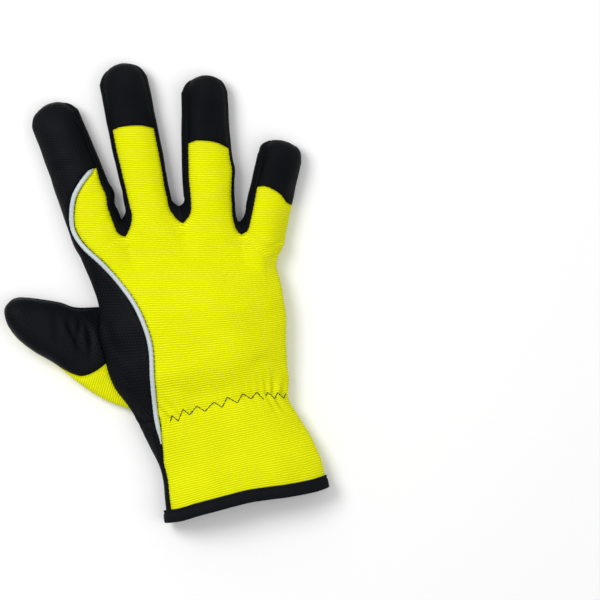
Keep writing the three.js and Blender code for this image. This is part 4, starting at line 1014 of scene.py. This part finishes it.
def yellow_cloth():
    """Cross-ribbed woven stretch cloth: rounded ribs crossed by finer threads, with painted shade in the
    grooves between them and along the seams.
    """
    nodes = Nodes("yellow_cloth", YELLOW)
    u, v = nodes.parts()
    sway = nodes.times(nodes.math("SUBTRACT", nodes.noise(0.11, 3.0), 0.5), 1.4)
    rows = nodes.times(nodes.math("ADD", v, sway), TURN / RIB_PITCH)
    rib = nodes.scaled(nodes.math("SINE", rows), 0.5, 0.5)
    shift = nodes.times(nodes.math("SIGN", nodes.math("SINE", nodes.times(rows, 0.5))), math.pi / 2)
    thread = nodes.math("SINE", nodes.scaled(u, TURN / THREAD_PITCH, shift))
    weave = nodes.times(rib, nodes.scaled(nodes.scaled(thread, 0.5, 0.5), 0.25, 0.75))
    # Painted shade: the grooves between the ribs and threads are coloured towards YELLOW_SHADE.
    light = nodes.math("POWER", nodes.scaled(weave, 0.8, 0.2), 0.5)
    light = nodes.times(light, nodes.span(nodes.noise(0.03, 2.0), 0.3, 0.7, 0.94, 1.03))
    # Painted shade: the cloth is coloured darker towards its seams, where they draw it in.
    light = nodes.times(light, nodes.span(nodes.attribute("seam", "Fac"), 0.0, 1.6, 0.55, 1.0))
    height = nodes.scaled(nodes.noise(2.2, 4.0), 0.18, weave)
    return nodes.finish(height, 0.8, 0.00032, light, YELLOW_SHADE, YELLOW, 0.8, Specular_IOR_Level=0.08)


def grip_cloth(name, pitch, dots, weave, roughness):
    """Black synthetic leather with a close pattern of raised dots, their tops painted lighter as a painted
    highlight in random patches.
    """
    nodes = Nodes(name, BLACK)
    u, v = nodes.parts()
    turn = TURN / (pitch * math.sqrt(3) / 2)
    across, along = nodes.times(u, turn * math.sqrt(3) / 2), nodes.times(v, turn / 2)
    second, third = (nodes.math("COSINE", nodes.math(kind, across, along)) for kind in ("ADD", "SUBTRACT"))
    total = nodes.math("ADD", nodes.math("COSINE", nodes.times(v, turn)), nodes.math("ADD", second, third))
    threads = nodes.math("SINE", nodes.times(nodes.scaled(u, 0.6, v), TURN / 0.8))
    relief = nodes.scaled(nodes.span(total, -0.8, 2.2), dots, nodes.times(threads, weave))
    height = nodes.math("ADD", relief, nodes.times(nodes.noise(1.5, 5.0), 0.35))
    # Random patches that vary the painted highlight and the roughness.
    mottle = nodes.noise(0.06, 4.0)
    # Painted highlight: the tops of the raised dots are coloured lighter, more so in some random patches.
    light = nodes.times(nodes.span(mottle, 0.35, 0.75, 0.1, 0.8), nodes.span(height, 0, 1.2))
    rough = nodes.span(mottle, 0.3, 0.7, roughness - 0.05, roughness + 0.1)
    return nodes.finish(height, 0.8, 0.0002, light, BLACK, BLACK_HIGHLIGHT_AND_FUZZ, rough, Specular_IOR_Level=0.07)


def lining_cloth():
    """Dark fleece on the inside."""
    nodes = Nodes("fleece_lining", (0.03, 0.03, 0.035))
    fuzz = nodes.noise(1.6, 6.0)
    return nodes.finish(fuzz, 0.8, 0.0006, fuzz, (0.012, 0.013, 0.016), (0.045, 0.047, 0.055), 0.95,
                        Sheen_Weight=0.4)


def reflective_tape():
    """Silver-white tape over a cord, with random darker specks."""
    nodes = Nodes("reflective_tape", (0.62, 0.69, 0.71))
    speck = nodes.noise(3.0, 4.0)
    return nodes.finish(speck, 0.25, 0.0001, nodes.span(speck, 0.3, 0.7), (0.42, 0.48, 0.5),
                        (0.56, 0.63, 0.65), 0.38, Specular_IOR_Level=0.6)


def tape_cloth():
    """Black woven binding tape with fine cross ribs."""
    nodes = Nodes("binding_tape", BLACK)
    rib = nodes.math("SINE", nodes.times(nodes.parts()[0], TURN / TAPE_PITCH))
    fuzz = nodes.noise(1.8, 4.0)
    return nodes.finish(nodes.scaled(rib, 0.4, fuzz), 0.5, 0.0002, fuzz, BLACK, BLACK_HIGHLIGHT_AND_FUZZ, 0.7,
                        Specular_IOR_Level=0.07)


yellow = yellow_cloth()
grip = grip_cloth("grip_cloth", DOT_PITCH, 1.0, 0.0, 0.46)
smooth_black = grip_cloth("smooth_black", 1.3, 0.4, 0.35, 0.5)
lining = lining_cloth()
silver = reflective_tape()
tape = tape_cloth()
dark_thread = Nodes("black_thread", (0.012, 0.012, 0.016), 0.65).material
olive_thread = Nodes("olive_thread", (0.05, 0.045, 0.01), 0.65).material

# The bag and the thumb, with their folds
bag_data, bag_faces, bag_tags = build_bag()
bag_data = relax(bag_data, bag_faces, SOFTEN_ROUNDS, bag_data[:, 1] < 0.5)
bag_data = relax(bag_data, bag_faces, TIP_ROUNDS, away_from_tips(bag_data))
bag_data = displace(bag_data, bag_faces, hand_folds)
thumb_data, thumb_faces, thumb_tags = build_thumb()
thumb_data = displace(thumb_data, thumb_faces, thumb_folds)


def capped(data, triangles):
    """The thumb's outer face closed at its root by a fan, to measure distances from."""
    edges = rim_edges(triangles)
    points = data[:, OUTER]
    centre = points[np.unique(edges)].mean(axis=0)
    fan = np.column_stack((edges[:, ::-1], np.full(len(edges), len(points))))
    return np.concatenate((points, centre[None])), np.concatenate((triangles, fan))


hollow = tree(bag_data[:, INNER], bag_faces)
thumb_body = tree(*capped(thumb_data, thumb_faces))


def piping_line(count):
    """Points spaced evenly along the seam under the piping, and its length."""
    rows = np.linspace(PIPING_START, 1, 160)
    hand = hand_back(0, seam_share(lambda q: hand_back(0, q, rows, 0), len(rows)), rows, 0)
    steps = np.linspace(0, FINGERS[0]["cap"], 90)[1:]
    share = seam_share(lambda q: finger_back(0, q, steps, 0), len(steps))
    return follow(np.concatenate((hand, finger_back(0, share, steps, 0))), count)


def follow(points, count):
    """Points spaced evenly along a line, and its length."""
    length = np.concatenate(((0,), np.cumsum(np.linalg.norm(np.diff(points, axis=0), axis=1))))
    at = np.linspace(0, length[-1], count)
    return np.stack([np.interp(at, length, points[:, n]) for n in range(3)], axis=1), length[-1]


def piping_taper(share):
    """How thick the bead is along its length, thinner where it runs into the seams at its ends."""
    return mix(0.3, 1, smooth(0, 0.06, share) * (1 - smooth(0.98, 1, share)))


seam_line = piping_line(400)[0]
BEAD_ROOM = PIPING_DIAMETER / 2 - 0.1
# The palm is cut below the thumb where the thumb's cloth is less than this above it.
UNDER_LIFT = 0.5
# Gaps between the cloths at these seams, and how far from them the distances are measured.
THUMB_GAP, HAND_GAP, PATCH_GAP = 0.15, 0.1, 0.08
NEAR_THUMB, NEAR_HAND = 6.0, 12.0


def saddle_field(points):
    """Distance in plan from the leaf-shaped patch, negative inside it."""
    seam = np.array(SADDLE_SEAM) * (HAND_WIDTH, PALM_LENGTH)
    share = np.linspace(0, len(seam) - 1, 60)
    knots = np.arange(len(seam), dtype=float)
    corner = thumb_place(np.array(0.45), np.array(0.0))
    loop = np.append(np.stack([read(knots, seam[:, n], share) for n in range(2)], axis=1), corner[None], 0)
    best = np.full(len(points), np.inf)
    within = np.zeros(len(points), dtype=bool)
    for a, b in zip(loop, np.roll(loop, -1, axis=0)):
        way = b - a
        away = points[:, :2] - a
        t = np.clip(away @ way / (way @ way), 0, 1)
        best = np.minimum(best, np.linalg.norm(away - t[:, None] * way, axis=1))
        crosses = (a[1] > points[:, 1]) != (b[1] > points[:, 1])
        within ^= crosses & (away[:, 0] < away[:, 1] / (way[1] or 1e-9) * way[0])
    return np.where(within, -best, best)


def panel(name, beside_piping=False):
    """One panel of the bag, cut back where the piping lies."""
    data, faces = compact(bag_data, bag_faces[bag_tags == name])
    if beside_piping:
        away, number = nearest(data[:, OUTER], seam_line)
        data, faces = clip(data, faces, away - BEAD_ROOM * piping_taper(number / (len(seam_line) - 1)))
    return data, faces


def make_palm():
    data, faces = panel("palm_panel", True)
    facing_down = smooth(0.3, 0.9, -data[:, NORMAL][:, 2:])
    spots = data[:, OUTER] + facing_down * (0, 0, UNDER_LIFT)
    data, faces = clip(data, faces, signed_distance(thumb_body, spots, NEAR_THUMB) - THUMB_GAP)
    flat = saddle_field(data[:, OUTER])
    above = data[:, 2] - 1.5 * CLOTH
    palm = clip(data, faces, np.maximum(flat - PATCH_GAP, above))
    patch = clip(data, faces, -np.maximum(flat + PATCH_GAP, above))
    solid_cloth("palm_panel", *palm, 0.55, 1.3, grip, "grip_cloth")
    solid_cloth("thumb_saddle_patch", *patch, 0.6, 1.4, grip, "grip_cloth")


def make_thumb():
    for name, *_ in THUMB_PARTS:
        data, faces = compact(thumb_data, thumb_faces[thumb_tags == name])
        data, faces = clip(data, faces, signed_distance(hollow, data[:, OUTER], NEAR_HAND) - HAND_GAP)
        look = (yellow, "yellow_cloth") if name == "thumb_side_panel" else (grip, "grip_cloth")
        solid_cloth(name, data, faces, 0.55, 1.2, *look)


def tube(rings, closed=False):
    """Points and faces of a solid through rings of points, closed to a loop or with two ends."""
    number = np.arange(rings.shape[0] * rings.shape[1]).reshape(rings.shape[:2])
    here = np.stack((number, np.roll(number, -1, axis=1)), axis=-1)
    quads = np.concatenate((here, np.roll(here, -1, axis=0)[..., ::-1]), axis=-1)
    ends = [] if closed else [number[0, ::-1].tolist(), number[-1].tolist()]
    return rings.reshape(-1, 3), quads[:None if closed else -1].reshape(-1, 4).tolist() + ends


def circle(sides):
    """Cosines and sines of the corners of a ring, as columns."""
    angle = TURN * np.arange(sides) / sides
    return np.cos(angle)[:, None], np.sin(angle)[:, None]


UP = np.array((0, 0, 1.0))
PIPING_SIDES = 12
PIPING_LIFT = 0.15
PIPING_COUNT = 520


def make_piping():
    """A bead over a cord, drawn in by each stitch beside it."""
    line, length = piping_line(PIPING_COUNT)
    share = np.linspace(0, 1, PIPING_COUNT)
    run = share * length
    tangent = np.gradient(line, axis=0)
    tangent /= np.linalg.norm(tangent, axis=1, keepdims=True)
    side = np.cross(UP, tangent)
    side /= np.linalg.norm(side, axis=1, keepdims=True)
    up = np.cross(tangent, side)[:, None]
    taper = PIPING_DIAMETER * piping_taper(share)
    radius = taper / 2 * (1 + 0.03 * np.sin(TURN * run / STITCH_PITCH)) * (1 + 0.04 * waves(line, 9, 12))
    across, above = (radius[:, None, None] * part for part in circle(PIPING_SIDES))
    lift = PIPING_LIFT * taper[:, None, None]
    points, faces = tube(line[:, None] + across * side[:, None] + (above + lift) * up)
    around = np.tile(np.arange(PIPING_SIDES), PIPING_COUNT)
    weave = np.column_stack((around, np.repeat(run, PIPING_SIDES), np.zeros(len(points))))
    item = make_object("piping_bead", points, faces, (silver,), {"cloth": weave})
    dress(item, "reflective_piping")


def hem_places():
    """Functions of depth and hand row for the points round the open hem."""
    def strip(face, f, q):
        return lambda depth, h: face(f, np.full_like(h, q), h, depth)

    def side(k, step):
        return lambda depth, h: side_path(outer_side(k, h, depth), np.full_like(h, step))

    seam = seam_share(lambda q: hand_back(0, q, np.zeros(1), 0), 1)
    back = [strip(hand_back, f, q) for f in range(len(FINGERS)) for q in strip_shares(f, seam, 1)[0][f > 0:]]
    palm = [strip(hand_palm, f, q) for f in range(len(FINGERS)) for q in spread(PALM_COLUMNS)[:-1]]
    steps = 2 * spread(SIDE_COLUMNS)
    return (back + [side(LAST_RAIL, step) for step in steps[1:]] + palm[::-1]
            + [side(0, step) for step in steps[-2:0:-1]])


LOOP_ROUNDS = 24
SLACK = 0.05


def binding_profile():
    """Section of the folded tape: distance off the cloth and height along the hand."""
    outside = SEAM_GAP + BINDING_CLOTH
    inside = -(CLOTH + SEAM_GAP + BINDING_CLOTH)
    slot = -0.5 * SEAM_GAP
    foot = slot - BINDING_CLOTH
    top = foot + BINDING_DEPTH
    return np.array((
        (SLACK, top - 0.2), (0.5 * outside, top), (0.85 * outside, top - 0.3), (0.95 * outside, top - 0.9),
        (0.6 * outside, top - 1.5), (0.95 * outside, top - 2.2), (1.05 * outside, top - 3.6),
        (1.05 * outside, 0.3 * top), (outside, 0.5 * foot), (0.7 * outside, 0.85 * foot),
        (0.0, foot), (0.5 * inside, foot), (0.85 * inside, 0.85 * foot), (inside, 0.5 * foot),
        (inside, 0.5 * top), (inside, top - 0.6), (0.9 * inside, top - 0.1),
        (-CLOTH - SLACK, top - 0.2), (-CLOTH - SLACK, slot), (SLACK, slot))).T


def make_binding():
    """The folded tape round the raw hem, with its slot for the cloth, a stitch line near its top."""
    reach, along = binding_profile()
    places = hem_places()
    depth = np.clip(-reach, 0, CLOTH)
    loop = np.array([place(0, np.zeros(1))[0] for place in places])
    after = np.roll(loop, -1, axis=0)
    out = np.cross(np.roll(loop, 1, axis=0) - after, (0, 1, 0)) * (-1, 0, -1)
    out /= np.linalg.norm(out, axis=1, keepdims=True)
    run = np.concatenate(((0,), np.cumsum(np.linalg.norm(after - loop, axis=1))[:-1]))
    rings = np.array([place(depth, np.maximum(along, 0) / PALM_LENGTH) for place in places])
    rings[..., 1] = along
    swell = 0.12 * np.sin(TURN * run / 3.1)[:, None] * (reach > 0.4)
    off = reach + depth + hand_folds(rings, out[:, 2:]) + swell
    rings += out[:, None] * off[..., None]
    inner = reach < -CLOTH - SEAM_GAP
    for _ in range(LOOP_ROUNDS):
        eased = (np.roll(rings, 1, axis=0) + np.roll(rings, -1, axis=0)) / 2
        rings[:, inner] = mix(rings, eased, 0.5)[:, inner]
    points, faces = tube(rings, True)
    weave = np.column_stack((np.repeat(run, len(along)), np.tile(along, len(run)), np.zeros(len(points))))
    item = make_object("binding_fold", settled(points), [face[::-1] for face in faces], (tape,),
                       {"cloth": weave})
    dress(item, "cuff_binding")


ZIGZAG = ((-31.5, 54.5), (-30, 58), (-27, 54), (-23, 60), (-20, 56), (-15, 60), (-11, 56),
          (-5, 60), (-1, 56), (3, 61), (8, 56.5), (12, 61), (16, 57), (20, 60), (23, 55), (26, 58.5),
          (29, 54), (31.5, 57), (34, 53), (36, 55.5))
STITCH_SIDES = 5


def stitch(start, end, radius, lift):
    """Rings of a short thread, its ends sunk into the cloth and its middle raised."""
    flat = np.array((start[1] - end[1], end[0] - start[0], 0.0))
    flat /= max(np.linalg.norm(flat), 1e-9)
    share = np.array((0.0, 0.12, 0.5, 0.88, 1.0))[:, None, None]
    sunk = np.array((1, 0, 0, 0, 1))[:, None, None]
    across, above = circle(STITCH_SIDES)
    centre = mix(start, end, share) + UP * (lift * np.sin(math.pi * share) - 1.6 * radius * sunk)
    return centre + radius * mix(1, 0.35, sunk) * (across * flat + above * UP)


def make_stitches(name, segments, material, radius, lift):
    points, faces = [], []
    for start, end in segments:
        spots, around = tube(stitch(start, end, radius, lift))
        faces += [[v + len(points) for v in face] for face in around]
        points += spots.tolist()
    item = make_object(name, points, faces, (material,), {})
    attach(item, "root")


def surface_of(item):
    """Heights of a finished piece, to lay threads on it."""
    points = [tuple(v / MM - o for v, o in zip(vertex.co, HEM_MIDDLE)) for vertex in item.data.vertices]
    faces = [tuple(p.vertices) for p in item.data.polygons if p.material_index == 0]
    return BVHTree.FromPolygons(points, faces)


def run_stitches(surface, path, pitch, fill):
    """Stitches along a path in plan, each of them from one needle hole to the next."""
    path = np.array([(x, y, 0.0) for x, y in path])
    length = np.linalg.norm(np.diff(path, axis=0), axis=1).sum()
    line = follow(path, max(1, round(length / pitch)) + 1)[0]
    segments = []
    for a, b in zip(line[:-1], line[1:]):
        ends = [surface.ray_cast(Vector((x, y, 60.0)), -Vector(UP))[0] for x, y, _ in (a, mix(a, b, fill))]
        if None not in ends:
            segments.append(np.array(ends))
    return segments


def make_threads(surface):
    """The zigzag over the elastic, and the row of stitches in the yellow cloth beside the piping."""
    zigzag = []
    for ends in zip(ZIGZAG[:-1], ZIGZAG[1:]):
        zigzag += run_stitches(surface, ends, 2.6, 1.06)
    make_stitches("elastic_zigzag_stitch", zigzag, dark_thread, 0.27, 0.16)
    line = piping_line(300)[0]
    tangent = np.gradient(line, axis=0)
    side = np.stack((tangent[:, 1], -tangent[:, 0]), axis=1)
    side /= np.linalg.norm(side, axis=1, keepdims=True)
    path = (line[:, :2] + side * (PIPING_DIAMETER / 2 + 0.4))[4:-10]
    make_stitches("piping_stitches", run_stitches(surface, path, STITCH_PITCH, 0.7), olive_thread, 0.12, 0.08)


make_palm()
back = solid_cloth("back_panel", *panel("back_panel", True), 0.75, 1.4, yellow, "yellow_cloth")
for name in CAPS[1:] + FOURCHETTES:
    solid_cloth(name, *panel(name), 0.4, 1.1, smooth_black, "smooth_black")
make_thumb()
make_piping()
make_binding()
make_threads(surface_of(back))

# Floor, lights and camera
TILT = math.radians(13.0)
PHOTO_CENTRE = (73.1, -23.6)
PHOTO_WIDTH = 342.0
CAMERA_HEIGHT = 4200.0
SENSOR = 36.0


def make_floor():
    bpy.ops.mesh.primitive_plane_add(size=6, location=(0, 0, 0))
    floor = bpy.context.object
    floor.name = "floor"
    nodes = Nodes("pale_floor", (0.9, 0.9, 0.9), 0.9)
    nodes.fill(nodes.shader, {"Base Color": (0.92, 0.92, 0.92)})
    floor.data.materials.append(nodes.material)


def make_light(name, place, size, power):
    light = bpy.data.lights.new(name, "AREA")
    light.shape = "DISK"
    light.size = size
    light.energy = power
    item = bpy.data.objects.new(name, light)
    item.location = place
    item.rotation_euler = (-Vector(place)).to_track_quat("-Z", "Y").to_euler()
    bpy.context.collection.objects.link(item)


def make_camera():
    camera = bpy.data.cameras.new("camera")
    camera.sensor_width = SENSOR
    camera.lens = SENSOR * CAMERA_HEIGHT / PHOTO_WIDTH
    camera.clip_end = 20
    item = bpy.data.objects.new("camera", camera)
    place = [length * MM for length in (*PHOTO_CENTRE, CAMERA_HEIGHT)]
    item.matrix_world = Matrix.Translation(place) @ Matrix.Rotation(-TILT, 4, "Z")
    bpy.context.collection.objects.link(item)
    bpy.context.scene.camera = item


make_floor()
make_light("key_light", (-0.5, 0.55, 1.1), 0.7, 10)
make_light("fill_light", (0.8, -0.5, 1.2), 1.2, 4)
make_light("top_light", (0.0, 0.1, 1.6), 1.4, 4)
make_camera()

world = bpy.data.worlds.new("studio")
world.use_nodes = True
world.node_tree.nodes["Background"].inputs["Color"].default_value = (1, 1, 1, 1)
world.node_tree.nodes["Background"].inputs["Strength"].default_value = 0.46
bpy.context.scene.world = world
bpy.context.scene.view_settings.view_transform = "Standard"
